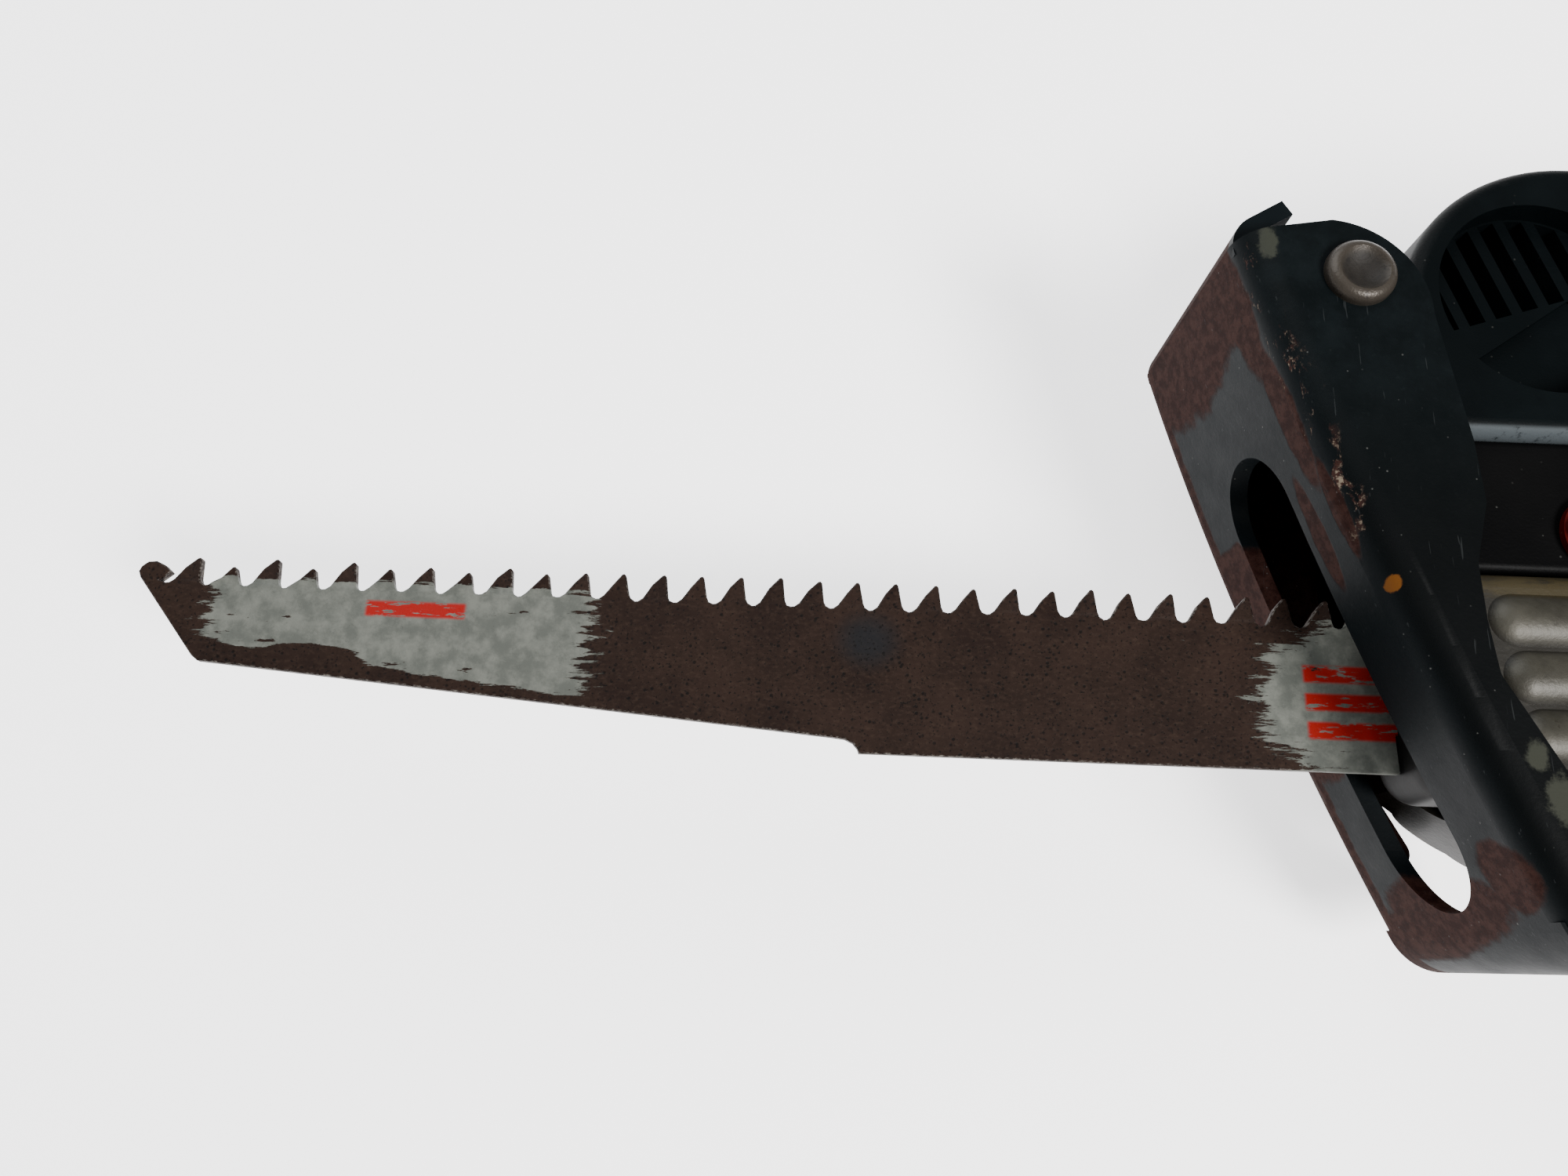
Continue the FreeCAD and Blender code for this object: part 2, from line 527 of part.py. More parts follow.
def casing_pieces():
    """Motor and handle shells, and the front covers over the gear case, right and left."""
    outer = casing_solid(0)
    cavity = casing_solid(WALL)
    ribs = [rib.common(cavity) for rib in casing_ribs()]
    posts = [rod_z(x, y, 0, 2 * MID, POST_R).common(cavity) for x, y, seat in CASING_SCREWS]
    for x, y, near in ((TRIGGER_X, TRIGGER_Y, TRIGGER_HALF + 0.5), (DIAL_X, DIAL_Y, DIAL_HALF + 0.5)):
        for side in (-1, 1):
            low, high = sorted((MID + side * near, MID + side * HANDLE_HALF))
            posts.append(rod_z(x, y, low, high, 3.5).common(outer))
    extras, cuts = ribs + posts, casing_cuts()
    for side in (-1, 1):
        backing, cut = grille_tools(side)
        extras.append(backing)
        cuts.append(cut)
    for x, y, seat in CASING_SCREWS:
        cuts.append(rod_z(x, y, MID - seat + 3, 2 * MID, SCREW_R))
        cuts.append(rod_z(x, y, MID + seat - SCREW_HEAD, 2 * MID + 1, SCREW_HEAD_R))
    cuts.append(rod_z(TRIGGER_X, TRIGGER_Y, MID - PIN_HALF, MID + PIN_HALF, PIN_R))
    cuts.append(rod_z(DIAL_X, DIAL_Y, MID - DIAL_AXLE_HALF, MID + DIAL_AXLE_HALF, PIN_R))
    shell = fuse_all([outer.cut(cavity)] + extras)
    shell = shell.cut(cuts[0].multiFuse(cuts[1:]))
    rear, front = (-FAR, SEAM_X - SEAM_GAP), (SEAM_X + SEAM_GAP, FAR)
    right, left = (MID + SEAM_GAP, FAR), (-FAR, MID - SEAM_GAP)
    quarters = {"right_shell": (rear, right), "left_shell": (rear, left),
                "right_front_cover": (front, right), "left_front_cover": (front, left)}
    return {name: biggest(shell.common(box(*x_range, -FAR, FAR, *z_range)))
            for name, (x_range, z_range) in quarters.items()}


def biggest(shape):
    return max(shape.Solids, key=lambda s: s.Volume)


# ---- shoe, pivot lug and rivet ----
def tool_point(x, y):
    """Point given from the shoe pivot (x) and the ram axis (y)."""
    return V(PIVOT_X + x, RAM_Y + y, 0)


PLATE_TOP = (14.0, -52.0)
PLATE_MIDDLE = (1.0, -8.0)
PLATE_BOTTOM = (-14.2, 30.0)
SIDE_LIP = 4.6           # turned-back edge that carries on below the cheeks
TAIL_START = PLATE_BOTTOM[1] - 1.0
LIP_R = 5.0
LIP_TURN = 72.0
LIP_RUN = 5.2
BEND_TURN = 80.0
BEND_R = 7.0
FLANGE_RUN = 13.0


def plate_circle():
    arc = Part.Arc(tool_point(*PLATE_TOP), tool_point(*PLATE_MIDDLE), tool_point(*PLATE_BOTTOM)).toShape()
    return arc.Curve.Center, arc.Curve.Radius


def plate_point(y, inset=0.0):
    """Point on the plate's front (or inset behind it) at height y over the ram axis."""
    centre, radius = plate_circle()
    dy = RAM_Y + y - centre.y
    return V(centre.x + math.sqrt((radius - inset) ** 2 - dy * dy), RAM_Y + y, 0)


def bent_strip(start, tangent, radius, turn, run, thick, inward):
    """Sheet that carries on from start along tangent, bends by turn about its inner side, then runs on."""
    normal = V(inward[0], inward[1], 0)
    centre = start + normal * radius
    sign = 1 if tangent.cross(normal).z > 0 else -1
    turned = FreeCAD.Rotation(Z, sign * turn)
    half = FreeCAD.Rotation(Z, sign * turn / 2)
    outer0 = start - centre
    inner0 = outer0 * ((radius - thick) / radius)
    end_dir = turned.multVec(tangent)
    outer = [centre + outer0, centre + half.multVec(outer0), centre + turned.multVec(outer0)]
    inner = [centre + inner0, centre + half.multVec(inner0), centre + turned.multVec(inner0)]
    outer_end, inner_end = outer[2] + end_dir * run, inner[2] + end_dir * run
    lines = [(outer[2], outer_end), (outer_end, inner_end), (inner_end, inner[2])]
    curves = [Part.Arc(*outer)] + [Part.LineSegment(*line) for line in lines]
    curves += [Part.Arc(*inner[::-1]), Part.LineSegment(inner[0], outer[0])]
    edges = [curve.toShape() for curve in curves]
    return Part.Face(Part.Wire(edges))


def shoe():
    centre, radius = plate_circle()
    top, bottom = plate_point(PLATE_TOP[1]), plate_point(PLATE_BOTTOM[1])
    middle = plate_point((PLATE_TOP[1] + PLATE_BOTTOM[1]) / 2)
    rear = [(-15.6, 22.4), (-18.6, 19.0), (-12.4, 7.4), (-10.1, 3.2), (-9.5, -3.0),
            (-9.4, -9.6), (-11.4, -17.1), (-11.0, -24.9), (-8.6, -41.3)]
    lobe = [tool_point(*p) for p in rear]
    ear = Part.Arc(lobe[-1], tool_point(-6.2, -49.2), tool_point(2.4, -54.0)).toShape()
    turned = bottom + (centre - bottom).normalize() * SIDE_LIP
    edges = [Part.Arc(top, middle, bottom).toShape(), Part.LineSegment(bottom, turned).toShape(),
             Part.LineSegment(turned, lobe[0]).toShape()]
    edges += [Part.LineSegment(a, b).toShape() for a, b in zip(lobe, lobe[1:])]
    edges += [ear, Part.LineSegment(tool_point(2.4, -54.0), top).toShape()]
    face = Part.Face(Part.Wire(edges))
    face.translate(V(0, 0, MID - SHOE_HALF))
    solid = face.extrude(V(0, 0, 2 * SHOE_HALF))
    front = [e for e in solid.Edges if e.BoundBox.ZLength < 0.01 and e.BoundBox.YLength > 60]
    solid = solid.makeFillet(SHOE_BEND_R, front)
    rims = [e for e in solid.Edges if abs(e.BoundBox.ZLength - 2 * SHOE_HALF) < 0.01]
    soft = [e for e in rims if e.BoundBox.XMax < PIVOT_X - 8.7 and e.BoundBox.YMax < RAM_Y + 23]
    solid = solid.makeFillet(2.0, soft)
    inner_top, inner_bottom = plate_point(-70, SHEET), plate_point(40, SHEET)
    inner_mid = plate_point(-15, SHEET)
    back = [V(PIVOT_X - 60, inner_bottom.y, 0), V(PIVOT_X - 60, inner_top.y, 0)]
    loop = [Part.Arc(inner_top, inner_mid, inner_bottom).toShape(),
            Part.LineSegment(inner_bottom, back[0]).toShape(), Part.LineSegment(back[0], back[1]).toShape(),
            Part.LineSegment(back[1], inner_top).toShape()]
    hollow = Part.Face(Part.Wire(loop))
    hollow.translate(V(0, 0, MID - SHOE_HALF + SHEET))
    hollow = hollow.extrude(V(0, 0, 2 * (SHOE_HALF - SHEET)))
    inside = [e for e in hollow.Edges if e.BoundBox.ZLength < 0.01 and e.Curve.TypeId == "Part::GeomCircle"]
    hollow = hollow.makeFillet(SHOE_BEND_R - SHEET, inside)
    channel = solid.cut(hollow)

    def level(point):
        return (centre - point).normalize()

    lip_start = plate_point(PLATE_TOP[1] + 1.5)
    inward = level(lip_start)
    lip = bent_strip(lip_start, V(-inward.y, inward.x, 0), LIP_R, LIP_TURN, LIP_RUN, SHEET, inward)
    lip.translate(V(0, 0, MID - SHOE_HALF + 3))
    lip = lip.extrude(V(0, 0, 2 * SHOE_HALF - 6))

    strip_top, strip_end = plate_point(TAIL_START), plate_point(PLATE_BOTTOM[1])
    strip_mid = plate_point((TAIL_START + PLATE_BOTTOM[1]) / 2)
    in_top, in_end = plate_point(TAIL_START, SHEET), strip_end + level(strip_end) * SHEET
    in_mid_y = (in_top.y + in_end.y) / 2 - RAM_Y
    strip = Part.Face(Part.Wire([Part.Arc(strip_top, strip_mid, strip_end).toShape(),
                                 Part.LineSegment(strip_end, in_end).toShape(),
                                 Part.Arc(in_end, plate_point(in_mid_y, SHEET), in_top).toShape(),
                                 Part.LineSegment(in_top, strip_top).toShape()]))
    inward = level(strip_end)
    bend = bent_strip(strip_end, V(inward.y, -inward.x, 0), BEND_R, BEND_TURN, FLANGE_RUN, SHEET, inward)
    tail = []
    for face in (strip, bend):
        face.translate(V(0, 0, MID - SHOE_HALF + 2.2))
        tail.append(face.extrude(V(0, 0, 2 * SHOE_HALF - 4.4)))
    low, high, slot_r = RAM_Y + SLOT_LOW, RAM_Y + SLOT_HIGH, SLOT_HALF - 0.01
    slot = slab([(low, -SLOT_HALF, slot_r), (high, -SLOT_HALF, slot_r),
                 (high, SLOT_HALF, slot_r), (low, SLOT_HALF, slot_r)], 0, 60)
    slot.rotate(V(0, 0, 0), V(1, 1, 1), 120)
    slot.translate(V(PIVOT_X - 35, 0, MID))
    holes = rod_z(PIVOT_X, PIVOT_Y, 0, 2 * MID, PIVOT_R)
    return fuse_all([channel, lip] + tail).cut(slot.fuse(holes))


RIVET_HEAD_R = 4.3
RIVET_HEAD = 1.8


def shoe_rivet():
    """Hollow rivet with a rolled head outside each cheek."""
    shank = rod_z(PIVOT_X, PIVOT_Y, MID - SHOE_HALF, MID + SHOE_HALF, PIVOT_R)
    parts = [shank]
    for side in (-1, 1):
        z = MID + side * SHOE_HALF
        low, high = sorted((z, z + side * RIVET_HEAD))
        head = rod_z(PIVOT_X, PIVOT_Y, low, high, RIVET_HEAD_R)
        outer = [e for e in head.Edges if abs(e.BoundBox.ZMin - (z + side * RIVET_HEAD)) < 0.01
                 and e.BoundBox.ZLength < 0.01]
        parts.append(head.makeFillet(1.3, outer))
    solid = fuse_all(parts)
    for side in (-1, 1):
        z = MID + side * (SHOE_HALF + RIVET_HEAD)
        dish = Part.makeSphere(4.2, V(PIVOT_X, PIVOT_Y, z + side * 2.9))
        solid = solid.cut(dish)
    return solid


LUG_R = 6.0
LUG_HALF = SHOE_HALF - SHEET - FREE
ARM_HALF_Y = 5.0
ARM_HALF_Z = 8.0


def lug_arm(gap):
    """Arm from the gear case flange forward to the pivot, grown by gap."""
    return box(NOSE_X0 + FLANGE + 1, PIVOT_X - 2, PIVOT_Y - ARM_HALF_Y - gap, PIVOT_Y + ARM_HALF_Y + gap,
               MID - ARM_HALF_Z - gap, MID + ARM_HALF_Z + gap)


def shoe_bracket():
    foot = bar_x(NOSE_X0 + FLANGE, NOSE_X0 + FLANGE + FOOT_THICK, PIVOT_Y - 7, PIVOT_Y + 7, 14.5, 4.0)
    lug = rod_z(PIVOT_X, PIVOT_Y, MID - LUG_HALF, MID + LUG_HALF, LUG_R)
    front = NOSE_X0 + FLANGE + FOOT_THICK
    holes = []
    for z in (MID - BRACKET_SCREW_Z, MID + BRACKET_SCREW_Z):
        holes.append(rod_x(NOSE_X0 + FLANGE - 1, front + 1, CASE_SCREW_R, PIVOT_Y, z))
        holes.append(rod_x(front, front + 4, CASE_SCREW_HEAD_R + JOIN_GAP, PIVOT_Y, z))
    bore = rod_z(PIVOT_X, PIVOT_Y, 0, 2 * MID, PIVOT_R + RUN_FIT)
    return fuse_all([foot, lug, lug_arm(0)]).cut(bore.multiFuse(holes))


# ---- ram: plunger, clamp, screw and blade ----
CLAMP_X0 = PIVOT_X - 33.0
CLAMP_X1 = PIVOT_X - 8.5
CLAMP_HALF = BORE_HALF - 1.5
CLAMP_TOP = BORE_TOP - 1.5
CLAMP_BOTTOM = BORE_BOTTOM + 1.5
TANG_HALF = 6.3
TANG_X0 = CLAMP_X1 - 20.0
PLUNGER_X0 = REAR_BUSH_X - 2.0
BALL_X = WOBBLE_X + FINGER_LENGTH * math.sin(math.radians(FINGER_TILT))
SPIGOT_R = RAM_R - 2.5
CLAMP_SCREW_X = CLAMP_X1 - 10.0
CLAMP_SCREW_R = 3.0
CLAMP_SCREW_HEX = 1.7    # corner radius of the hexagon socket
BLADE_FIT = 0.03


def plunger():
    body = rod_x(PLUNGER_X0, CLAMP_X0, RAM_R, RAM_Y).fuse(rod_x(CLAMP_X0 - 1, CLAMP_X0 + 4, SPIGOT_R, RAM_Y))
    socket = Part.makeCylinder(FINGER_BALL_R + FREE, 14, V(BALL_X, RAM_Y - 8, MID), Y)
    throat_half = 9.0
    throat = box(BALL_X - throat_half, BALL_X + throat_half, RAM_Y - RAM_R - 1, RAM_Y - 4.5,
                 MID - FINGER_BALL_R - FREE, MID + FINGER_BALL_R + FREE)
    chamfer = [e for e in body.Edges if e.BoundBox.XMax < PLUNGER_X0 + 0.01]
    body = body.makeChamfer(1.0, chamfer)
    return body.cut(socket.fuse(throat))


def blade_clamp():
    block = bar_x(CLAMP_X0, CLAMP_X1, CLAMP_BOTTOM, CLAMP_TOP, CLAMP_HALF, 5.0)
    front = edges_at(block, lambda b: b.XMin > CLAMP_X1 - 0.01)
    block = block.makeFillet(3.5, front)
    cuts = [rod_x(CLAMP_X0 - 1, CLAMP_X0 + 4, SPIGOT_R, RAM_Y),
            box(TANG_X0 - 0.5, CLAMP_X1 + 1, RAM_Y - TANG_HALF - 0.1, RAM_Y + TANG_HALF + 0.1,
                MID - BLADE_THICK / 2 - BLADE_FIT, MID + BLADE_THICK / 2 + BLADE_FIT),
            rod_z(CLAMP_SCREW_X, RAM_Y, MID, MID + CLAMP_HALF + 1, CLAMP_SCREW_R)]
    return block.cut(cuts[0].multiFuse(cuts[1:]))


def clamp_screw():
    low, high = MID + BLADE_THICK / 2 + BLADE_FIT, MID + CLAMP_HALF - 0.3
    screw = rod_z(CLAMP_SCREW_X, RAM_Y, low, high, CLAMP_SCREW_R)
    corners = [V(CLAMP_SCREW_X + CLAMP_SCREW_HEX * math.cos(math.radians(60 * i)),
                 RAM_Y + CLAMP_SCREW_HEX * math.sin(math.radians(60 * i)), high - 3) for i in range(7)]
    return screw.cut(Part.Face(Part.makePolygon(corners)).extrude(V(0, 0, 4)))


FIRST_TOOTH_X = CLAMP_X1 + 2.3     # rearmost tooth tip
BLADE_REACH = 151.1                # shoe pivot to the blade's tip
TOOTH_EDGE = RAM_Y - BLADE_HEIGHT / 2
SPINE = RAM_Y + BLADE_HEIGHT / 2
STEP_X = PIVOT_X + 58.4
NOSE_TIP = (PIVOT_X + BLADE_REACH, TOOTH_EDGE + 3.05)


def saw_blade():
    """Wood blade: stepped, tapering spine, chamfered nose, teeth that cut on the pull."""
    root = TOOTH_EDGE + TOOTH_DEPTH
    points = []
    for i in range(TOOTH_COUNT):
        tip = FIRST_TOOTH_X + TOOTH_PITCH * i
        points += [V(tip - 0.9, root, 0), V(tip - 0.25, TOOTH_EDGE, 0), V(tip + 0.15, TOOTH_EDGE, 0),
                   V(tip + TOOTH_PITCH - 1.9, root, 0)]
    last = points[-1].x
    nose = [V(last + 1.2, root + 0.1, 0), V(NOSE_TIP[0] - 3.4, TOOTH_EDGE + 1.4, 0),
            V(NOSE_TIP[0] - 1.2, TOOTH_EDGE + 0.9, 0), V(NOSE_TIP[0], NOSE_TIP[1] - 0.9, 0),
            V(NOSE_TIP[0] - 0.2, NOSE_TIP[1], 0)]
    spine = [V(NOSE_TIP[0] - 9.1, SPINE - 8.55, 0), V(STEP_X + 2.0, SPINE - 1.75, 0),
             V(STEP_X + 0.5, SPINE - 1.25, 0), V(STEP_X, SPINE, 0)]
    heel = CLAMP_X1 + FREE
    rear = [V(heel, SPINE, 0), V(heel, RAM_Y + TANG_HALF, 0), V(TANG_X0, RAM_Y + TANG_HALF, 0),
            V(TANG_X0, RAM_Y - TANG_HALF, 0), V(heel, RAM_Y - TANG_HALF, 0), V(heel, root, 0)]
    loop = points + nose + spine + rear
    face = Part.Face(Part.makePolygon(loop + [loop[0]]))
    face.translate(V(0, 0, MID - BLADE_THICK / 2))
    return face.extrude(V(0, 0, BLADE_THICK))


# ---- gears, shafts and the wobble drive ----
PRESSURE = math.radians(20)
SHIFT = 0.35
BACKLASH = 0.12
PINION_BORE_R = 3.0
WEB_HOLES = 6
WEB_HOLE_R = 2.2


def involute_point(base, radius):
    t = math.sqrt(max((radius / base) ** 2 - 1, 0))
    return t - math.atan(t)


def gear(teeth, shift, width, bore, phase):
    """Spur gear about the X axis at the origin; phase turns a tooth off +Y (radians)."""
    pitch_r = MODULE * teeth / 2
    base = pitch_r * math.cos(PRESSURE)
    tip = pitch_r + MODULE * (0.8 + shift)
    root = pitch_r - MODULE * (1.15 - shift)
    half = (math.pi / 2 + 2 * shift * math.tan(PRESSURE)) / teeth - BACKLASH / (2 * pitch_r)
    half_base = half + involute_point(base, pitch_r)
    flank = [max(base, root) + (tip - max(base, root)) * k / 4 for k in range(5)]
    points = []
    for i in range(teeth):
        middle = phase + 2 * math.pi * i / teeth
        side = [(root, half_base + 0.02)] + [(r, half_base - involute_point(base, r)) for r in flank]
        for r, angle in side:
            points.append((r, middle - angle))
        for r, angle in reversed(side):
            points.append((r, middle + angle))
    loop = [V(0, r * math.cos(a), r * math.sin(a)) for r, a in points]
    face = Part.Face(Part.makePolygon(loop + [loop[0]]))
    return face.extrude(V(width, 0, 0)).cut(Part.makeCylinder(bore, width + 2, V(-1, 0, 0), X))


def motor_pinion():
    wheel = gear(PINION_TEETH, SHIFT, PINION_LENGTH, PINION_BORE_R, math.pi)
    wheel.translate(V(PINION_X0, 0, MID))
    return wheel


def driven_gear():
    wheel = gear(GEAR_TEETH, -SHIFT, DRIVEN_WIDTH, SHAFT_R, math.pi / GEAR_TEETH)
    wheel.translate(V(DRIVEN_X0, SHAFT_Y, MID))
    holes = []
    ring_r = (SHAFT_R + MODULE * GEAR_TEETH / 2 - 1) / 2
    for i in range(WEB_HOLES):
        angle = 2 * math.pi * i / WEB_HOLES
        holes.append(rod_x(DRIVEN_X0 - 1, DRIVEN_X0 + DRIVEN_WIDTH + 1, WEB_HOLE_R,
                           SHAFT_Y + ring_r * math.cos(angle), MID + ring_r * math.sin(angle)))
    return wheel.cut(holes[0].multiFuse(holes[1:]))


def countershaft():
    body = rod_x(COUNTER_REAR_X, COUNTER_FRONT_X + SMALL_BEARING_W, JOURNAL_R, SHAFT_Y)
    middle = rod_x(COUNTER_REAR_X + SMALL_BEARING_W + 0.5, COUNTER_FRONT_X - 0.5, SHAFT_R, SHAFT_Y)
    collar = rod_x(DRIVEN_X0 + DRIVEN_WIDTH + 4, REAR_BUSH_X - 2, SHAFT_R + 2, SHAFT_Y)
    return fuse_all([body, middle, collar])


def wobble_race():
    ball = Part.makeSphere(RACE_R, V(WOBBLE_X, SHAFT_Y, MID))
    ball = ball.common(box(WOBBLE_X - 9, WOBBLE_X + 9, SHAFT_Y - 20, SHAFT_Y + 20, 0, 2 * MID))
    groove = Part.makeTorus(RACE_R + 0.5, 1.8, V(WOBBLE_X, SHAFT_Y, MID), X)
    groove.rotate(V(WOBBLE_X, SHAFT_Y, MID), Z, -FINGER_TILT)
    return ball.cut(groove).cut(rod_x(WOBBLE_X - 12, WOBBLE_X + 12, SHAFT_R, SHAFT_Y))


def wobble_ring():
    centre = V(WOBBLE_X, SHAFT_Y, MID)
    bore = RACE_R + FREE
    mouth = math.sqrt(bore ** 2 - RING_HALF ** 2)
    inner = [centre + V(-RING_HALF, mouth, 0), centre + Y * bore, centre + V(RING_HALF, mouth, 0)]
    outer = [centre + V(RING_HALF, RING_R, 0), centre + V(-RING_HALF, RING_R, 0)]
    section = [Part.Arc(*inner).toShape(), Part.LineSegment(inner[2], outer[0]).toShape(),
               Part.LineSegment(outer[0], outer[1]).toShape(), Part.LineSegment(outer[1], inner[0]).toShape()]
    ring = Part.Face(Part.Wire(section)).revolve(centre, X, 360)
    foot = centre + Y * (RING_R - 2)
    stem = Part.makeCylinder(FINGER_R, FINGER_LENGTH - RING_R + 2, foot, Y)
    root = Part.makeCone(5.5, FINGER_R, 8.0, foot, Y)
    ball = Part.makeSphere(FINGER_BALL_R, centre + Y * FINGER_LENGTH)
    body = ring.fuse(root).fuse(stem).fuse(ball)
    body.rotate(centre, Z, -FINGER_TILT)
    return body


def bearing(x0, width, outer, y):
    """Ball bearing with rings and shields as one closed ring, running on a journal."""
    ring = tube_x(x0, x0 + width, outer, JOURNAL_R + RUN_FIT, y)
    middle, spread = (outer + JOURNAL_R) / 2, (outer - JOURNAL_R) * 0.2
    for x in (x0 - 0.5, x0 + width - 0.5):
        ring = ring.cut(tube_x(x, x + 1, middle + spread, middle - spread, y))
    return ring


def bushing(x0):
    return tube_x(x0, x0 + BUSH_LENGTH, BUSH_R, RAM_R + RUN_FIT, RAM_Y)


# ---- motor ----
COIL_R = STATOR_R - 4.4
SLOT_COUNT = 12
BAR_COUNT = 24
VANE_COUNT = 14


def stator_core():
    ring = tube_x(STATOR_X0, STATOR_X1, STATOR_R, ARMATURE_R + AIR_GAP)
    windows = []
    for side in (-1, 1):
        y0, y1 = sorted((side * 2, side * 14))
        windows.append(tube_x(STATOR_X0 - 1, STATOR_X1 + 1, STATOR_R - 4, ARMATURE_R - 1).common(
            box(STATOR_X0 - 1, STATOR_X1 + 1, y0, y1, 0, 2 * MID)))
    return biggest(ring.cut(windows[0].fuse(windows[1])))


def field_coils():
    coils = []
    for side in (-1, 1):
        y0, y1 = sorted((side * 2.5, side * 13.5))
        band = tube_x(STATOR_X0 - COIL_OVERHANG, STATOR_X1 + COIL_OVERHANG, COIL_R,
                      ARMATURE_R + AIR_GAP + 0.6)
        legs = band.common(box(STATOR_X0 - 20, STATOR_X1 + 20, y0, y1, 0, 2 * MID))
        bridges = []
        for x in (STATOR_X0 - COIL_OVERHANG, STATOR_X1 + 0.6):
            arch = tube_x(x, x + COIL_OVERHANG - 0.6, COIL_R, ARMATURE_R + AIR_GAP + 0.6)
            far = (2.5, STATOR_R) if side > 0 else (-STATOR_R, -2.5)
            bridges.append(arch.common(box(x - 1, x + COIL_OVERHANG, far[0], far[1], 0, 2 * MID)))
        coils.append(fuse_all([legs] + bridges))
    return Part.makeCompound(coils)


def armature_shaft():
    pieces = [rod_x(REAR_BEARING_X, MOTOR_BEARING_X + MOTOR_BEARING_W + 0.2, JOURNAL_R, 0),
              rod_x(REAR_BEARING_X + REAR_BEARING_W + 0.5, FAN_X0 + FAN_WIDTH + 5, ARM_SHAFT_R, 0),
              rod_x(MOTOR_BEARING_X, PINION_X0 + PINION_LENGTH, PINION_BORE_R, 0)]
    return fuse_all(pieces)


def armature_core():
    core = rod_x(STATOR_X0 + 1, STATOR_X1 - 1, ARMATURE_R, 0)
    slots = []
    for i in range(SLOT_COUNT):
        slot = box(STATOR_X0, STATOR_X1, ARMATURE_R - 7.0, ARMATURE_R - 1.2, MID - 1.7, MID + 1.7)
        mouth = box(STATOR_X0, STATOR_X1, ARMATURE_R - 2.0, ARMATURE_R + 1.0, MID - 0.7, MID + 0.7)
        slot = slot.fuse(mouth)
        slot.rotate(V(0, 0, MID), X, 360 / SLOT_COUNT * i)
        slots.append(slot)
    bore = rod_x(STATOR_X0, STATOR_X1, ARM_SHAFT_R, 0)
    return core.cut(bore.multiFuse(slots))


def armature_windings():
    ends = [tube_x(STATOR_X0 - 8, STATOR_X0 + 0.9, ARMATURE_R - 2.5, ARM_SHAFT_R),
            tube_x(STATOR_X1 - 0.9, STATOR_X1 + 7, ARMATURE_R - 2.5, ARM_SHAFT_R)]
    ends = [end.makeFillet(3.0, edges_at(end, lambda b: b.XLength < 0.01 and b.YLength > 20
                                         and (b.XMax < STATOR_X0 - 7 or b.XMin > STATOR_X1 + 6)))
            for end in ends]
    legs = []
    for i in range(SLOT_COUNT):
        leg = box(STATOR_X0 - 1, STATOR_X1 + 1, ARMATURE_R - 6.8, ARMATURE_R - 1.4, MID - 1.5, MID + 1.5)
        leg.rotate(V(0, 0, MID), X, 360 / SLOT_COUNT * i)
        legs.append(leg)
    return fuse_all(ends + legs)


def commutator():
    drum = tube_x(COMMUTATOR_X0, COMMUTATOR_X1, COMMUTATOR_R, ARM_SHAFT_R)
    riser = tube_x(COMMUTATOR_X1 - 0.1, COMMUTATOR_X1 + 2, COMMUTATOR_R + 1.5, ARM_SHAFT_R)
    gaps = []
    for i in range(BAR_COUNT):
        gap = box(COMMUTATOR_X0 - 1, COMMUTATOR_X1 + 3, COMMUTATOR_R - 0.6, COMMUTATOR_R + 3,
                  MID - 0.25, MID + 0.25)
        gap.rotate(V(0, 0, MID), X, 360 / BAR_COUNT * i)
        gaps.append(gap)
    return drum.fuse(riser).cut(gaps[0].multiFuse(gaps[1:]))


def cooling_fan():
    hub = tube_x(FAN_X0, FAN_X0 + FAN_WIDTH, 8.0, ARM_SHAFT_R)
    disc = tube_x(FAN_X0 + FAN_WIDTH - 2, FAN_X0 + FAN_WIDTH, FAN_R, 7.0)
    vanes = []
    for i in range(VANE_COUNT):
        vane = box(FAN_X0 + 1, FAN_X0 + FAN_WIDTH - 1, 10.0, FAN_R - 1, MID - 0.6, MID + 0.6)
        vane.rotate(V(0, 10, MID), X, 18)
        vane.rotate(V(0, 0, MID), X, 360 / VANE_COUNT * i)
        vanes.append(vane)
    round_off = rod_x(FAN_X0, FAN_X0 + FAN_WIDTH, FAN_R, 0)
    return fuse_all([hub, disc] + vanes).common(round_off)


BRUSH_X = (COMMUTATOR_X0 + COMMUTATOR_X1) / 2
BRUSH_HALF = 3.0
BRUSH_LENGTH = 11.0
HOLDER_HALF = 4.5
HOLDER_END = 1.5


def on_both_sides(maker):
    """Compound of the piece that maker builds at the right of the motor axis and its mirror image."""
    piece = maker()
    return Part.makeCompound([piece, piece.mirror(V(0, 0, MID), Z)])


def brush_holder():
    z0, z1 = MID + COMMUTATOR_R + 1.5, MID + HALF_WIDTH - WALL
    block = box(BRUSH_X - HOLDER_HALF, BRUSH_X + HOLDER_HALF, -HOLDER_HALF, HOLDER_HALF, z0, z1)
    slot = BRUSH_HALF + 0.1
    return block.cut(box(BRUSH_X - slot, BRUSH_X + slot, -slot, slot, z0 - 1, z1 - HOLDER_END))


def carbon_brush():
    z0 = MID + COMMUTATOR_R - 1
    brush = box(BRUSH_X - BRUSH_HALF, BRUSH_X + BRUSH_HALF, -BRUSH_HALF, BRUSH_HALF, z0, z0 + BRUSH_LENGTH)
    return brush.cut(rod_x(BRUSH_X - 5, BRUSH_X + 5, COMMUTATOR_R + 0.2, 0))


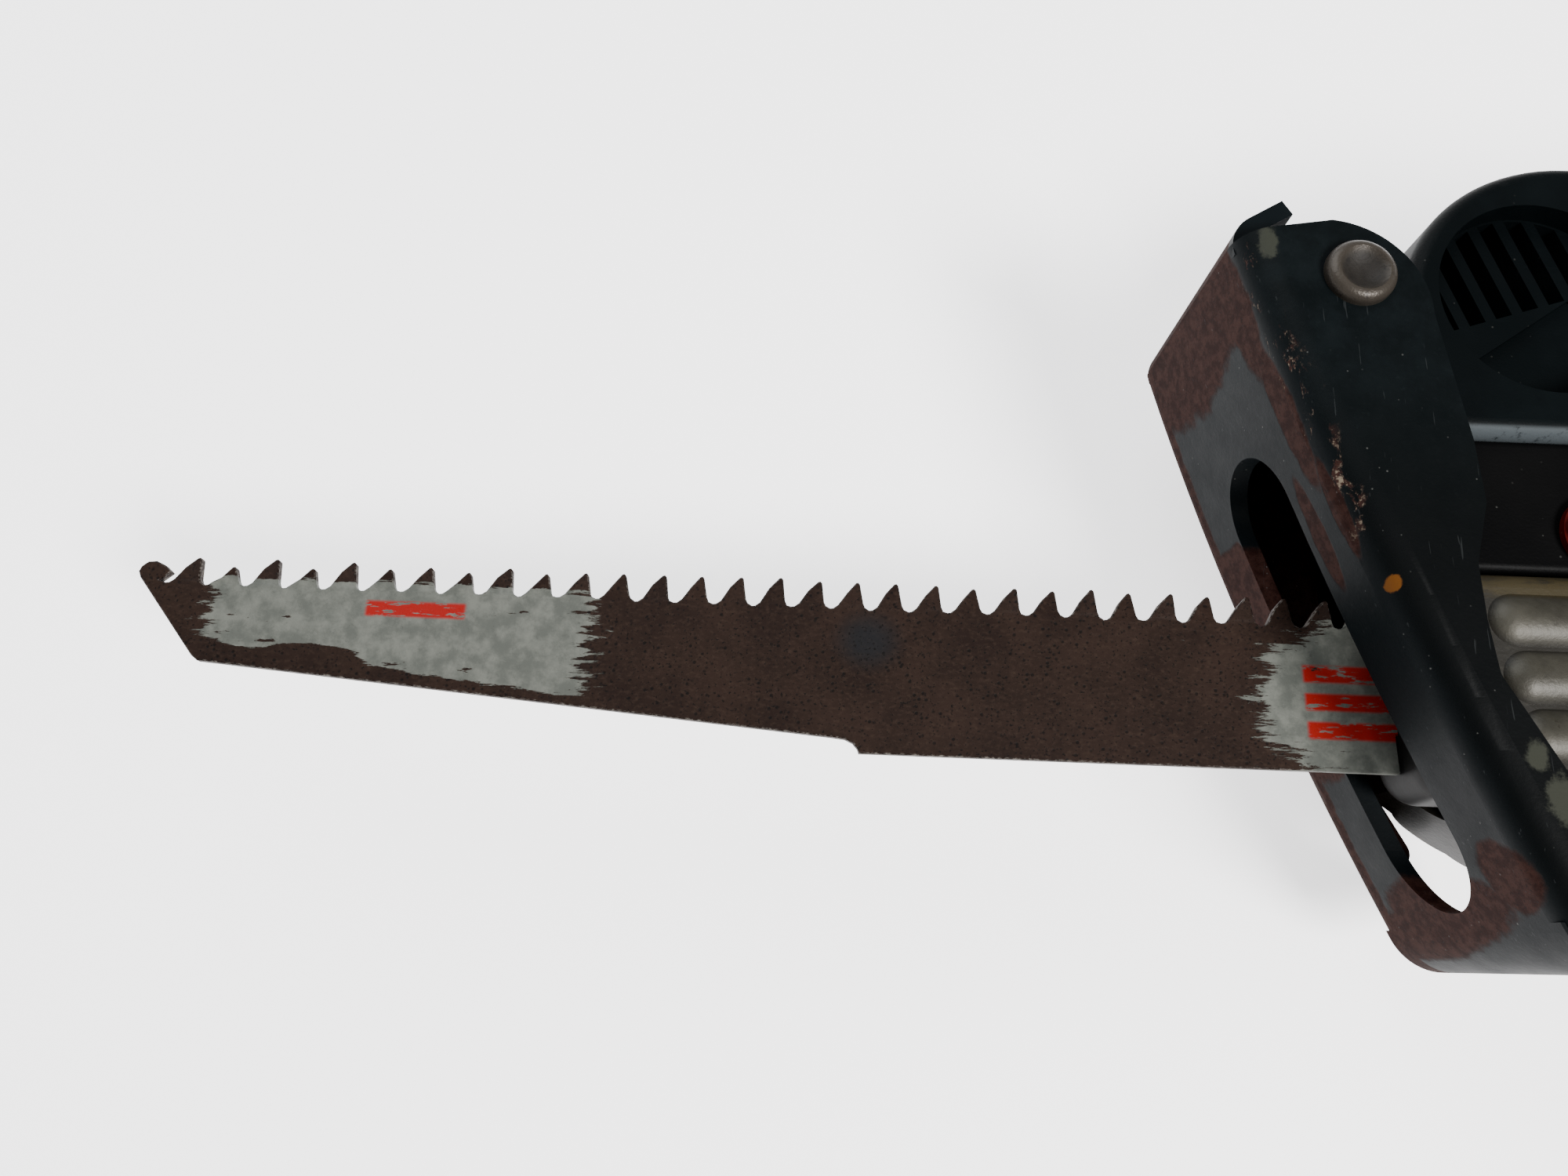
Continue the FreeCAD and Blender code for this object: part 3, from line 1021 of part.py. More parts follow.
def brush_spring():
    z0, z1 = MID + COMMUTATOR_R - 1 + BRUSH_LENGTH, MID + HALF_WIDTH - WALL - HOLDER_END
    wire_r, coil_r, turns = 0.35, 2.1, 7
    pitch = (z1 - z0 - 3 * wire_r) / turns
    rings = [Part.makeTorus(coil_r, wire_r, V(BRUSH_X, 0, z0 + wire_r + i * pitch), Z) for i in range(turns)]
    link = Part.makeCylinder(wire_r, z1 - z0, V(BRUSH_X + coil_r, 0, z0), Z)
    return fuse_all(rings + [link])


# ---- handle parts ----
def trigger():
    reach = OPENING_REAR_X + TRIGGER_OUT
    low = TRIGGER_Y - TRIGGER_LENGTH
    corners = [(TRIGGER_X - 4, TRIGGER_Y + 3.5, 2.0), (OPENING_REAR_X + 1.5, TRIGGER_Y + 3.5, 2.0),
               (reach - 3.5, TRIGGER_Y - 12, 14.0), (reach - 6.0, low + 14, 12.0), (reach, low, 2.0),
               (TRIGGER_X - 1, low, 1.5), (TRIGGER_X - 4, TRIGGER_Y - 12, 1.5)]
    body = slab(corners, MID - TRIGGER_HALF, MID + TRIGGER_HALF)
    front = [e for e in body.Edges if e.BoundBox.ZLength < 0.01 and e.BoundBox.XMin > OPENING_REAR_X]
    body = body.makeFillet(1.6, front)
    return body.cut(rod_z(TRIGGER_X, TRIGGER_Y, 0, 2 * MID, PIN_R + RUN_FIT))


def trigger_pin():
    return rod_z(TRIGGER_X, TRIGGER_Y, MID - PIN_HALF, MID + PIN_HALF, PIN_R)


def switch_body():
    body = box(SWITCH_X0, SWITCH_X1, SWITCH_Y0, SWITCH_Y1, MID - SWITCH_HALF, MID + SWITCH_HALF)
    body = body.makeFillet(1.5, [e for e in body.Edges if abs(e.BoundBox.ZLength - 2 * SWITCH_HALF) < 0.01])
    nub = Part.makeCylinder(2.5, 2.5, V(SWITCH_X1 - 0.1, (SWITCH_Y0 + SWITCH_Y1) / 2, MID), X)
    return body.fuse(nub)


def lock_button():
    top = MID + HANDLE_HALF + BUTTON_TRAVEL + 0.5
    cap = rod_z(BUTTON_X, BUTTON_Y, MID + HANDLE_HALF - 5.0, top, BUTTON_R)
    return cap.makeFillet(1.2, edges_at(cap, lambda b: b.ZMin > top - 0.01))


def speed_dial():
    wheel = rod_z(DIAL_X, DIAL_Y, MID - DIAL_HALF, MID + DIAL_HALF, DIAL_R)
    notches = []
    for i in range(24):
        angle = math.radians(15 * i)
        out = DIAL_R + 0.3
        notches.append(rod_z(DIAL_X + out * math.cos(angle), DIAL_Y + out * math.sin(angle), 0, 2 * MID, 0.8))
    bore = rod_z(DIAL_X, DIAL_Y, 0, 2 * MID, PIN_R + RUN_FIT)
    return wheel.cut(bore.multiFuse(notches))


def dial_axle():
    return rod_z(DIAL_X, DIAL_Y, MID - DIAL_AXLE_HALF, MID + DIAL_AXLE_HALF, PIN_R)


def cable_gland():
    start = HANDLE_BOTTOM + WALL + 2.0
    body = Part.makeCylinder(GLAND_R, GLAND_LENGTH, V(GLAND_X, start, MID), Y * -1)
    groove = Part.makeCylinder(GLAND_R + 1.4, 1.8, V(GLAND_X, start + 0.1, MID), Y * -1)
    tip = edges_at(body, lambda b: b.YMax < start - GLAND_LENGTH + 0.01)
    body = body.makeFillet(2.0, tip)
    bore = Part.makeCylinder(GLAND_BORE_R, GLAND_LENGTH + 10, V(GLAND_X, start + 3, MID), Y * -1)
    return body.fuse(groove).cut(bore)


def main():
    for name, piece in casing_pieces().items():
        save(name, piece)
    makers = dict(
        housing_screws=casing_screws, gear_case=gear_case, gear_case_screws=case_screws,
        nose_casting=nose_casting, nose_sleeve=nose_sleeve, selector_knob=selector_knob,
        shoe=shoe, shoe_rivet=shoe_rivet, shoe_bracket=shoe_bracket,
        plunger=plunger, blade_clamp=blade_clamp, clamp_screw=clamp_screw, saw_blade=saw_blade,
        motor_pinion=motor_pinion, driven_gear=driven_gear, countershaft=countershaft,
        wobble_race=wobble_race, wobble_ring=wobble_ring, stator_core=stator_core,
        field_coils=field_coils, armature_shaft=armature_shaft, armature_core=armature_core,
        armature_windings=armature_windings, commutator=commutator, cooling_fan=cooling_fan,
        trigger=trigger, trigger_pin=trigger_pin, switch_body=switch_body, lock_button=lock_button,
        speed_dial=speed_dial, dial_axle=dial_axle, cable_gland=cable_gland)
    for name, maker in makers.items():
        save(name, maker())
    for name, maker in dict(brush_holders=brush_holder, carbon_brushes=carbon_brush,
                            brush_springs=brush_spring).items():
        save(name, on_both_sides(maker))
    save("front_bushing", bushing(NOSE_X0))
    save("rear_bushing", bushing(REAR_BUSH_X))
    save("motor_front_bearing", bearing(MOTOR_BEARING_X, MOTOR_BEARING_W, MOTOR_BEARING_R, 0))
    save("motor_rear_bearing", bearing(REAR_BEARING_X, REAR_BEARING_W, SMALL_BEARING_R, 0))
    save("countershaft_rear_bearing", bearing(COUNTER_REAR_X, SMALL_BEARING_W, SMALL_BEARING_R, SHAFT_Y))
    save("countershaft_front_bearing", bearing(COUNTER_FRONT_X, SMALL_BEARING_W, SMALL_BEARING_R, SHAFT_Y))


main()
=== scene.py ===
import json
import math
import random

import bmesh
import bpy
from mathutils import Matrix, Vector
from mathutils.geometry import tessellate_polygon


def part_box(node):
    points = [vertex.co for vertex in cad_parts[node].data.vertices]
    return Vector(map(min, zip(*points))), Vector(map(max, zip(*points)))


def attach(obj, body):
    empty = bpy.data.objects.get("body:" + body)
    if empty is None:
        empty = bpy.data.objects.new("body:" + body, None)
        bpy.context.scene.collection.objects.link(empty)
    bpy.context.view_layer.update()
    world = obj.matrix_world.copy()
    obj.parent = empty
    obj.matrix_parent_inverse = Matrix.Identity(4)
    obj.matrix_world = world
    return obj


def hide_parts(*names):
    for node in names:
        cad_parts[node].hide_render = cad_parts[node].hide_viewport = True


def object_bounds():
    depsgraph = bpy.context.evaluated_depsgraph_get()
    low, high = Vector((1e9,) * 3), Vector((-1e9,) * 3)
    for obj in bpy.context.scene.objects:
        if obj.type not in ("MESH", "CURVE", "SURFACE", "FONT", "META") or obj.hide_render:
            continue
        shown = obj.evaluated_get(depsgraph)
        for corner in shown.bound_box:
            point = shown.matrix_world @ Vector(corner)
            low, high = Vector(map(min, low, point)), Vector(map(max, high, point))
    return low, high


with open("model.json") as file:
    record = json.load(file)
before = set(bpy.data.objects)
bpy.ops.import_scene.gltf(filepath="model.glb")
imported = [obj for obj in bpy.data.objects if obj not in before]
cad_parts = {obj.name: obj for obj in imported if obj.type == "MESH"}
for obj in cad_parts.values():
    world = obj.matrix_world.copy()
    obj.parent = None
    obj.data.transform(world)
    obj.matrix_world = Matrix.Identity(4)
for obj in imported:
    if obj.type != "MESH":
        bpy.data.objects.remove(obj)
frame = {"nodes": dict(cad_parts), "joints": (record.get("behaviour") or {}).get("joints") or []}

cad_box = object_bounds()

# ---- places taken from the frame ----
MM = 0.001
joints = {joint["name"]: joint for joint in frame["joints"]}
PIVOT = Vector(joints["shoe_pivot"]["pos_m"])
ram_low, ram_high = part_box("plunger")
RAM = (ram_low + ram_high) / 2
HUB = Vector((PIVOT.x, RAM.y, RAM.z))    # pivot's x on the ram axis: the origin of local places
BLADE_LOW, BLADE_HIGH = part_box("saw_blade")


def at(u, v, w):
    """Row-frame point from millimetres forward of the pivot, over the ram axis and off the mid plane."""
    return HUB + Vector((u, v, w)) * MM


# ---- camera ----
CAMERA_PLACE = at(68.4, 35.8, 144.5)
CAMERA_RIGHT = Vector((-0.99923, -0.03743, 0.01184))
CAMERA_UP = Vector((0.03926, -0.95267, 0.30145))
CAMERA_LENS = 27.0
SENSOR_WIDTH = 36.0


def make_camera():
    data = bpy.data.cameras.new("camera")
    data.lens = CAMERA_LENS
    data.sensor_width = SENSOR_WIDTH
    data.clip_start = 0.01
    camera = bpy.data.objects.new("camera", data)
    bpy.context.scene.collection.objects.link(camera)
    right = CAMERA_RIGHT.normalized()
    back = right.cross(CAMERA_UP).normalized()
    up = back.cross(right)
    turn = Matrix((right, up, back)).transposed().to_4x4()
    camera.matrix_world = Matrix.Translation(CAMERA_PLACE) @ turn
    bpy.context.scene.camera = camera


# ---- stage ----
PAPER_GLOW = 1.6    # overexposed white paper
PAPER_HALF = 3.0    # metres from the middle to an edge
PAPER_GAP = 0.0002  # metres below the part's lowest point
SKY = 0.45


def make_floor():
    mesh = bpy.data.meshes.new("floor")
    half = PAPER_HALF
    floor_z = cad_box[0].z - PAPER_GAP
    corners = [(-half, -half, floor_z), (half, -half, floor_z), (half, half, floor_z), (-half, half, floor_z)]
    mesh.from_pydata(corners, [], [(0, 1, 2, 3)])
    floor = bpy.data.objects.new("floor", mesh)
    bpy.context.scene.collection.objects.link(floor)
    paper = Shader("paper", (0.93, 0.925, 0.93), 0.95, specular=0.1)
    paper.bsdf.inputs["Emission Color"].default_value = (1.0, 0.99, 1.0, 1)
    paper.bsdf.inputs["Emission Strength"].default_value = PAPER_GLOW
    mesh.materials.append(paper.material)


def area_light(name, place, aim, size, power, colour=(1, 1, 1)):
    data = bpy.data.lights.new(name, "AREA")
    data.shape = "DISK"
    data.size = size
    data.energy = power
    data.color = colour
    light = bpy.data.objects.new(name, data)
    bpy.context.scene.collection.objects.link(light)
    light.location = place
    light.rotation_euler = (aim - place).to_track_quat("-Z", "Y").to_euler()


def make_lights():
    world = bpy.data.worlds.new("studio")
    bpy.context.scene.world = world
    world.use_nodes = True
    world.node_tree.nodes["Background"].inputs[0].default_value = (1.0, 1.0, 1.0, 1)
    world.node_tree.nodes["Background"].inputs[1].default_value = SKY
    area_light("key", at(-330, 330, 620), at(20, 0, 0), 0.30, 14.0, (1.0, 0.985, 0.97))
    area_light("fill", at(260, -420, 380), at(20, -20, 0), 0.6, 4.0, (0.94, 0.97, 1.0))


# ---- shader helper ----
class Shader:
    """A procedural material: the nodes are joined by small calls that return sockets."""

    def __init__(self, name, colour, roughness, metallic=0.0, specular=0.5):
        self.material = bpy.data.materials.new(name)
        self.material.use_nodes = True
        self.tree = self.material.node_tree
        self.bsdf = self.tree.nodes["Principled BSDF"]
        self.bsdf.inputs["Base Color"].default_value = (*colour, 1)
        self.bsdf.inputs["Roughness"].default_value = roughness
        self.bsdf.inputs["Metallic"].default_value = metallic
        self.bsdf.inputs["Specular IOR Level"].default_value = specular
        self._places = {}

    def node(self, kind, *inputs, **settings):
        made = self.tree.nodes.new("ShaderNode" + kind)
        for key, value in settings.items():
            setattr(made, key, value)
        for index, value in enumerate(inputs):
            self.feed(made.inputs[index], value)
        return made

    def feed(self, socket, value):
        if value is None:
            return
        if isinstance(value, bpy.types.NodeSocket):
            self.tree.links.new(value, socket)
        else:
            socket.default_value = value

    def place(self):
        """Position in local millimetres: forward of the pivot, over the ram axis, off the mid plane."""
        if "place" not in self._places:
            coord = self.node("TexCoord").outputs["Object"]
            moved = self.node("VectorMath", coord, tuple(HUB), operation="SUBTRACT").outputs[0]
            scaled = self.node("VectorMath", moved, (1 / MM,) * 3, operation="MULTIPLY").outputs[0]
            self._places["place"] = scaled
        return self._places["place"]

    def axis(self, index):
        if "axes" not in self._places:
            self._places["axes"] = self.node("SeparateXYZ", self.place())
        return self._places["axes"].outputs[index]

    def math(self, operation, a, b=None, c=None, clamp=False):
        return self.node("Math", a, b, c, operation=operation, use_clamp=clamp).outputs[0]

    def noise(self, size, detail=4.0, roughness=0.6, distortion=0.0, stretch=(1, 1, 1), shift=0.0):
        """Noise from 0 to 1 with features about size millimetres across, stretched by axis."""
        scaled = self.node("VectorMath", self.place(), tuple(1 / (size * s) for s in stretch),
                           operation="MULTIPLY").outputs[0]
        moved = self.node("VectorMath", scaled, (shift, shift * 1.7, shift * 0.6), operation="ADD").outputs[0]
        made = self.node("TexNoise")
        self.feed(made.inputs["Vector"], moved)
        made.inputs["Scale"].default_value = 1.0
        made.inputs["Detail"].default_value = detail
        made.inputs["Roughness"].default_value = roughness
        made.inputs["Distortion"].default_value = distortion
        return made.outputs["Fac"]

    def cells(self, size, feature="F1", stretch=(1, 1, 1), randomness=1.0):
        scaled = self.node("VectorMath", self.place(), tuple(1 / (size * s) for s in stretch),
                           operation="MULTIPLY").outputs[0]
        made = self.node("TexVoronoi", feature=feature)
        self.feed(made.inputs["Vector"], scaled)
        made.inputs["Scale"].default_value = 1.0
        made.inputs["Randomness"].default_value = randomness
        return made.outputs["Distance"]

    def step(self, value, low, high):
        """0 below low, 1 above high, smooth between; low may be over high to turn it round."""
        made = self.node("MapRange", value, low, high, 0.0, 1.0, interpolation_type="SMOOTHSTEP")
        return made.outputs[0]

    def mix(self, factor, a, b):
        made = self.node("Mix", data_type="RGBA")
        self.feed(made.inputs["Factor"], factor)
        for socket, value in ((made.inputs[6], a), (made.inputs[7], b)):
            self.feed(socket, (*value, 1) if isinstance(value, tuple) and len(value) == 3 else value)
        return made.outputs[2]

    def blend(self, factor, a, b):
        made = self.node("Mix", data_type="FLOAT")
        self.feed(made.inputs["Factor"], factor)
        self.feed(made.inputs[2], a)
        self.feed(made.inputs[3], b)
        return made.outputs[0]

    def spot(self, centre, radii):
        """Field that is 1 at the centre, 0 on the ellipsoid and negative outside it."""
        moved = self.node("VectorMath", self.place(), centre, operation="SUBTRACT").outputs[0]
        scaled = self.node("VectorMath", moved, tuple(1 / r for r in radii), operation="MULTIPLY").outputs[0]
        length = self.node("VectorMath", scaled, operation="LENGTH").outputs["Value"]
        return self.math("SUBTRACT", 1.0, length)

    def union(self, fields):
        total = fields[0]
        for field in fields[1:]:
            total = self.math("MAXIMUM", total, field)
        return total

    def band(self, axis, low, high, soft):
        """1 between low and high along an axis, falling to 0 over soft millimetres."""
        up = self.step(self.axis(axis), low - soft, low + soft)
        down = self.step(self.axis(axis), high + soft, high - soft)
        return self.math("MULTIPLY", up, down)

    def ragged(self, field, amount, noise, sharp=0.08):
        """Mask from a field whose edge is torn by noise."""
        torn = self.math("ADD", field, self.math("MULTIPLY", self.math("SUBTRACT", noise, 0.5), amount))
        return self.step(torn, -sharp, sharp)

    def bump(self, height, strength, distance_mm, base=None):
        made = self.node("Bump")
        made.inputs["Strength"].default_value = strength
        made.inputs["Distance"].default_value = distance_mm * MM
        self.feed(made.inputs["Height"], height)
        self.feed(made.inputs["Normal"], base)
        return made.outputs["Normal"]

    def finish(self, colour=None, roughness=None, metallic=None, normal=None):
        self.feed(self.bsdf.inputs["Base Color"], colour)
        self.feed(self.bsdf.inputs["Roughness"], roughness)
        self.feed(self.bsdf.inputs["Metallic"], metallic)
        self.feed(self.bsdf.inputs["Normal"], normal)
        return self.material


# ---- materials ----
PAINT = (0.0009, 0.0019, 0.0022)
# paler copy of the paint, used only as a painted sheen on the top of the shoe
PAINT_SHEEN = (0.0040, 0.0064, 0.0075)
RUST = (0.0115, 0.0032, 0.0022)
RUST_PALE = (0.0250, 0.0100, 0.0075)


def shoe_paint():
    """Old blue-black paint on pressed steel, worn to rust along edges, bends and the slot."""
    s = Shader("shoe_paint", PAINT, 0.5, specular=0.06)
    v, w = s.axis(1), s.axis(2)
    coarse = s.noise(5.0, 5.0, 0.65)
    fine = s.noise(0.7, 4.0, 0.7)
    streak = s.noise(2.2, 5.0, 0.7, 0.4, stretch=(1, 2.4, 1), shift=3.1)
    far_edge = s.math("MULTIPLY", s.math("SUBTRACT", -15.0, w), 0.30)
    spots = [s.spot((13.0, -50.0, -4.0), (9.0, 11.0, 19.0)),
             s.spot((11.5, -46.0, 13.5), (6.0, 11.0, 3.4)),
             s.spot((8.5, -29.0, 15.0), (5.0, 12.0, 2.3)),
             s.spot((4.0, -17.0, 16.8), (3.5, 7.0, 1.3)),
             s.spot((3.5, -16.0, 11.0), (5.0, 8.0, 1.6)),
             s.spot((-12.5, 27.0, -1.0), (5.0, 4.6, 13.0)),
             s.spot((-10.5, 24.5, 14.0), (5.0, 4.2, 4.6)),
             s.spot((-13.0, 30.0, -10.0), (6.0, 3.5, 12.0))]
    strip = s.math("MULTIPLY", s.step(v, -24.0, -19.0), s.step(v, 14.0, 4.0))
    strip = s.math("MULTIPLY", strip, s.step(w, -7.0, -9.0))
    strip = s.math("SUBTRACT", s.math("MULTIPLY", strip, 1.2), 0.4)
    front = s.step(w, 19.6, 18.4)
    wear = s.union([far_edge, strip] + spots)
    wear = s.math("ADD", wear, s.math("MULTIPLY", s.math("SUBTRACT", front, 1.0), 0.6))
    rusty = s.ragged(wear, 0.62, coarse, 0.10)
    rusty = s.math("MULTIPLY", rusty, s.step(fine, 0.20, 0.36))
    bend = s.math("MULTIPLY", s.band(2, 16.6, 19.6, 0.7), s.band(1, -52.0, -14.0, 3.0))
    chips = s.math("MULTIPLY", bend, s.step(streak, 0.55, 0.64))
    pale_chips = s.math("MULTIPLY", chips, s.step(s.noise(0.5, 3.0, 0.7, shift=7.0), 0.5, 0.62))
    specks = s.step(s.cells(1.5), 0.10, 0.05)
    specks = s.math("MULTIPLY", specks, s.step(s.noise(6.0, 2.0, shift=4.4), 0.50, 0.60))
    scratch = s.step(s.noise(1.0, 2.0, 0.5, stretch=(0.35, 6.0, 0.35), shift=9.0), 0.71, 0.74)
    blotch = s.ragged(s.union([s.spot((-14.6, 16.5, 20.4), (1.5, 2.6, 4.0)),
                               s.spot((10.6, -50.6, 20.0), (1.1, 2.0, 2.0)),
                               s.spot((-12.6, 12.0, 20.4), (1.2, 1.6, 4.0))]), 1.5,
                      s.noise(1.4, 5.0, 0.75, shift=2.0), 0.25)
    orange = s.ragged(s.spot((-0.2, -7.2, 20.4), (0.8, 1.1, 3.0)), 0.5, fine, 0.1)
    # painted sheen: the paint turns paler toward negative v at the top of the shoe, where light glances off
    # it; noise breaks it up
    sheen_top = s.math("MULTIPLY", s.step(v, -15.0, -48.0), s.step(coarse, 0.3, 0.75))
    paint = s.mix(s.math("MULTIPLY", sheen_top, 0.55), PAINT, PAINT_SHEEN)
    paint = s.mix(s.math("MULTIPLY", s.step(fine, 0.55, 0.8), 0.22), paint, (0.0085, 0.0115, 0.0130))
    # painted light: the paint is made paler on every face but the near cheek, as on faces that catch more
    # light
    paint = s.mix(s.math("MULTIPLY", front, 0.75), paint, (0.0019, 0.0034, 0.0043))
    shaded = s.math("MULTIPLY", s.step(v, -34.0, -8.0), s.step(w, 17.0, 20.0))
    paint = s.mix(s.math("MULTIPLY", shaded, 0.85), paint, (0.0003, 0.0006, 0.0007))
    rust = s.mix(s.step(s.noise(1.6, 5.0, 0.7, shift=5.0), 0.38, 0.62), RUST, RUST_PALE)
    rust = s.mix(s.math("MULTIPLY", s.step(s.noise(0.45, 3.0, 0.6, shift=8.0), 0.58, 0.68), 0.6),
                 rust, (0.0040, 0.0026, 0.0026))
    colour = s.mix(rusty, paint, rust)
    colour = s.mix(chips, colour, RUST_PALE)
    colour = s.mix(pale_chips, colour, (0.150, 0.120, 0.088))
    colour = s.mix(s.math("MULTIPLY", specks, 0.5), colour, (0.085, 0.085, 0.080))
    colour = s.mix(s.math("MULTIPLY", scratch, 0.18), colour, (0.050, 0.054, 0.055))
    colour = s.mix(s.math("MULTIPLY", blotch, 0.65), colour, (0.034, 0.036, 0.027))
    colour = s.mix(orange, colour, (0.085, 0.030, 0.005))
    rough = s.blend(rusty, s.math("ADD", 0.40, s.math("MULTIPLY", coarse, 0.25)), 0.78)
    height = s.math("ADD", s.math("MULTIPLY", rusty, -0.5), s.math("MULTIPLY", fine, 0.5))
    height = s.math("SUBTRACT", height, s.math("MULTIPLY", chips, 0.6))
    return s.finish(colour, rough, normal=s.bump(height, 0.5, 0.12))


def worn_rivet():
    """Worn steel: a bright rolled rim round a hollow whose middle is darkened with painted shade, with spots
    of dirt.
    """
    s = Shader("worn_rivet", (0.02, 0.018, 0.015), 0.5, 0.2, 0.2)
    grime = s.noise(1.6, 5.0, 0.7)
    fine = s.noise(0.35, 3.0, 0.6, shift=3.0)
    dx = s.axis(0)
    dy = s.math("SUBTRACT", s.axis(1), (PIVOT.y - HUB.y) / MM)
    radius = s.math("SQRT", s.math("ADD", s.math("MULTIPLY", dx, dx), s.math("MULTIPLY", dy, dy)))
    rim = s.math("MULTIPLY", s.step(radius, 2.3, 3.1), s.step(radius, 4.5, 4.1))
    # painted shade: the middle of the hollow is darkened by radius alone, as shade in the recess
    hollow_shade = s.math("MULTIPLY", s.step(radius, 2.6, 2.0), 0.55)
    # dirt spots from the noise, joined with the painted shade in the hollow
    dirt = s.math("ADD", hollow_shade, s.step(grime, 0.55, 0.72), clamp=True)
    colour = s.mix(s.step(grime, 0.3, 0.7), (0.0130, 0.0110, 0.0090), (0.0230, 0.0200, 0.0165))
    colour = s.mix(s.math("MULTIPLY", rim, 0.75), colour, (0.042, 0.035, 0.028))
    colour = s.mix(s.math("MULTIPLY", dirt, 0.8), colour, (0.0035, 0.0026, 0.0022))
    rough = s.blend(rim, 0.58, 0.34)
    return s.finish(colour, rough, s.blend(dirt, 0.30, 0.05), s.bump(s.math("ADD", grime, fine), 0.5, 0.10))


TIP_PATCH_U = (93.0, 141.0)
TIP_PATCH_V = (-8.4, 9.0)
SPINE_SLOPE = 0.118         # fall of the patch's lower edge toward the tip
TIP_BAR_U = (108.8, 121.4)
TIP_BAR_V = (-5.9, -3.9)
SHANK_BAR_U = (-9.0, 2.6)
SHANK_BARS_V = (-2.2, 1.4, 5.0)
SHANK_BAR_HEIGHT = 2.2


def blade_metal(bright=False):
    """Brown patina with dark pits, remains of pale grey paint and plain red bars."""
    s = Shader("blade_edge" if bright else "blade_face", (0.010, 0.006, 0.005), 0.5, 0.0, 0.08)
    u, v = s.axis(0), s.axis(1)
    cloud = s.noise(9.0, 5.0, 0.6)
    grain = s.noise(0.55, 4.0, 0.75, stretch=(1.5, 1, 1))
    pits = s.step(s.cells(0.95), 0.30, 0.14)
    pits = s.math("MULTIPLY", pits, s.step(s.noise(3.0, 3.0, shift=2.0), 0.36, 0.58))
    fine_pits = s.step(s.noise(0.38, 2.0, 0.6, shift=6.0), 0.60, 0.68)
    colour = s.mix(s.step(cloud, 0.30, 0.70), (0.0085, 0.0042, 0.0029), (0.0155, 0.0083, 0.0057))
    colour = s.mix(s.math("MULTIPLY", s.step(grain, 0.45, 0.75), 0.5), colour, (0.030, 0.0180, 0.0125))
    stain = s.step(s.spot((57.5, -3.2, 0), (5.5, 5.0, 9.0)), 0.0, 0.8)
    colour = s.mix(s.math("MULTIPLY", stain, 0.65), colour, (0.0050, 0.0078, 0.0100))
    all_pits = s.math("MULTIPLY", s.math("MAXIMUM", pits, fine_pits), 0.85)
    colour = s.mix(all_pits, colour, (0.0015, 0.0010, 0.0009))
    # painted highlight: the edge material is paler, as glints where the chamfers and set teeth catch the
    # light
    if bright:
        colour = s.mix(s.step(grain, 0.45, 0.70), colour, (0.110, 0.100, 0.090))
    streaks = s.noise(1.3, 6.0, 0.75, 0.3, stretch=(5.0, 0.7, 1.0), shift=11.0)
    tip_patch = s.math("MULTIPLY", s.band(0, *TIP_PATCH_U, 5.5), s.band(1, *TIP_PATCH_V, 0.9))
    beyond = s.math("SUBTRACT", u, TIP_PATCH_U[0])
    tip_slope = s.math("ADD", v, s.math("MULTIPLY", beyond, SPINE_SLOPE))
    tip_patch = s.math("MULTIPLY", tip_patch, s.step(tip_slope, 6.6, 5.0))
    hump = s.step(s.spot((128.5, 2.4, 0), (8.0, 2.6, 9.0)), -0.15, 0.25)
    tip_patch = s.math("MULTIPLY", tip_patch, s.math("SUBTRACT", 1.0, hump))
    tip_patch = s.math("SUBTRACT", tip_patch, 0.5)
    shank = s.spot((-9.0, 2.5, 0), (17.5, 11.5, 9.0))
    shank = s.math("MINIMUM", s.math("MULTIPLY", shank, 2.2), 0.5)
    field = s.math("MAXIMUM", tip_patch, shank)
    painted = s.ragged(field, 2.3, streaks, 0.05)
    holes = s.step(s.noise(2.2, 4.0, 0.7, stretch=(2.6, 0.7, 1), shift=14.0), 0.66, 0.70)
    painted = s.math("MULTIPLY", painted, s.math("SUBTRACT", 1.0, holes))
    faded = s.step(s.noise(2.6, 4.0, 0.65, shift=1.0), 0.35, 0.7)
    grey = s.mix(faded, (0.064, 0.068, 0.060), (0.108, 0.112, 0.098))
    red = s.math("MULTIPLY", s.band(0, *TIP_BAR_U, 0.3), s.band(1, *TIP_BAR_V, 0.25))
    for low in SHANK_BARS_V:
        across = s.band(1, low, low + SHANK_BAR_HEIGHT, 0.25)
        red = s.math("MAXIMUM", red, s.math("MULTIPLY", s.band(0, *SHANK_BAR_U, 0.3), across))
    rubbed = s.noise(1.0, 4.0, 0.7, stretch=(3.0, 0.6, 1), shift=17.0)
    red = s.math("MULTIPLY", red, s.step(rubbed, 0.62, 0.56))
    grey = s.mix(red, grey, (0.200, 0.0060, 0.0050))
    colour = s.mix(painted, colour, grey)
    metallic = s.blend(painted, 0.5 if bright else 0.05, 0.0)
    rough = s.blend(painted, s.math("ADD", 0.50, s.math("MULTIPLY", cloud, 0.22)), 0.45)
    deep = s.math("MAXIMUM", pits, s.math("MULTIPLY", fine_pits, 0.6))
    height = s.math("SUBTRACT", s.math("MULTIPLY", grain, 0.4), deep)
    height = s.math("ADD", height, painted)
    return s.finish(colour, rough, metallic, s.bump(height, 0.55, 0.06))


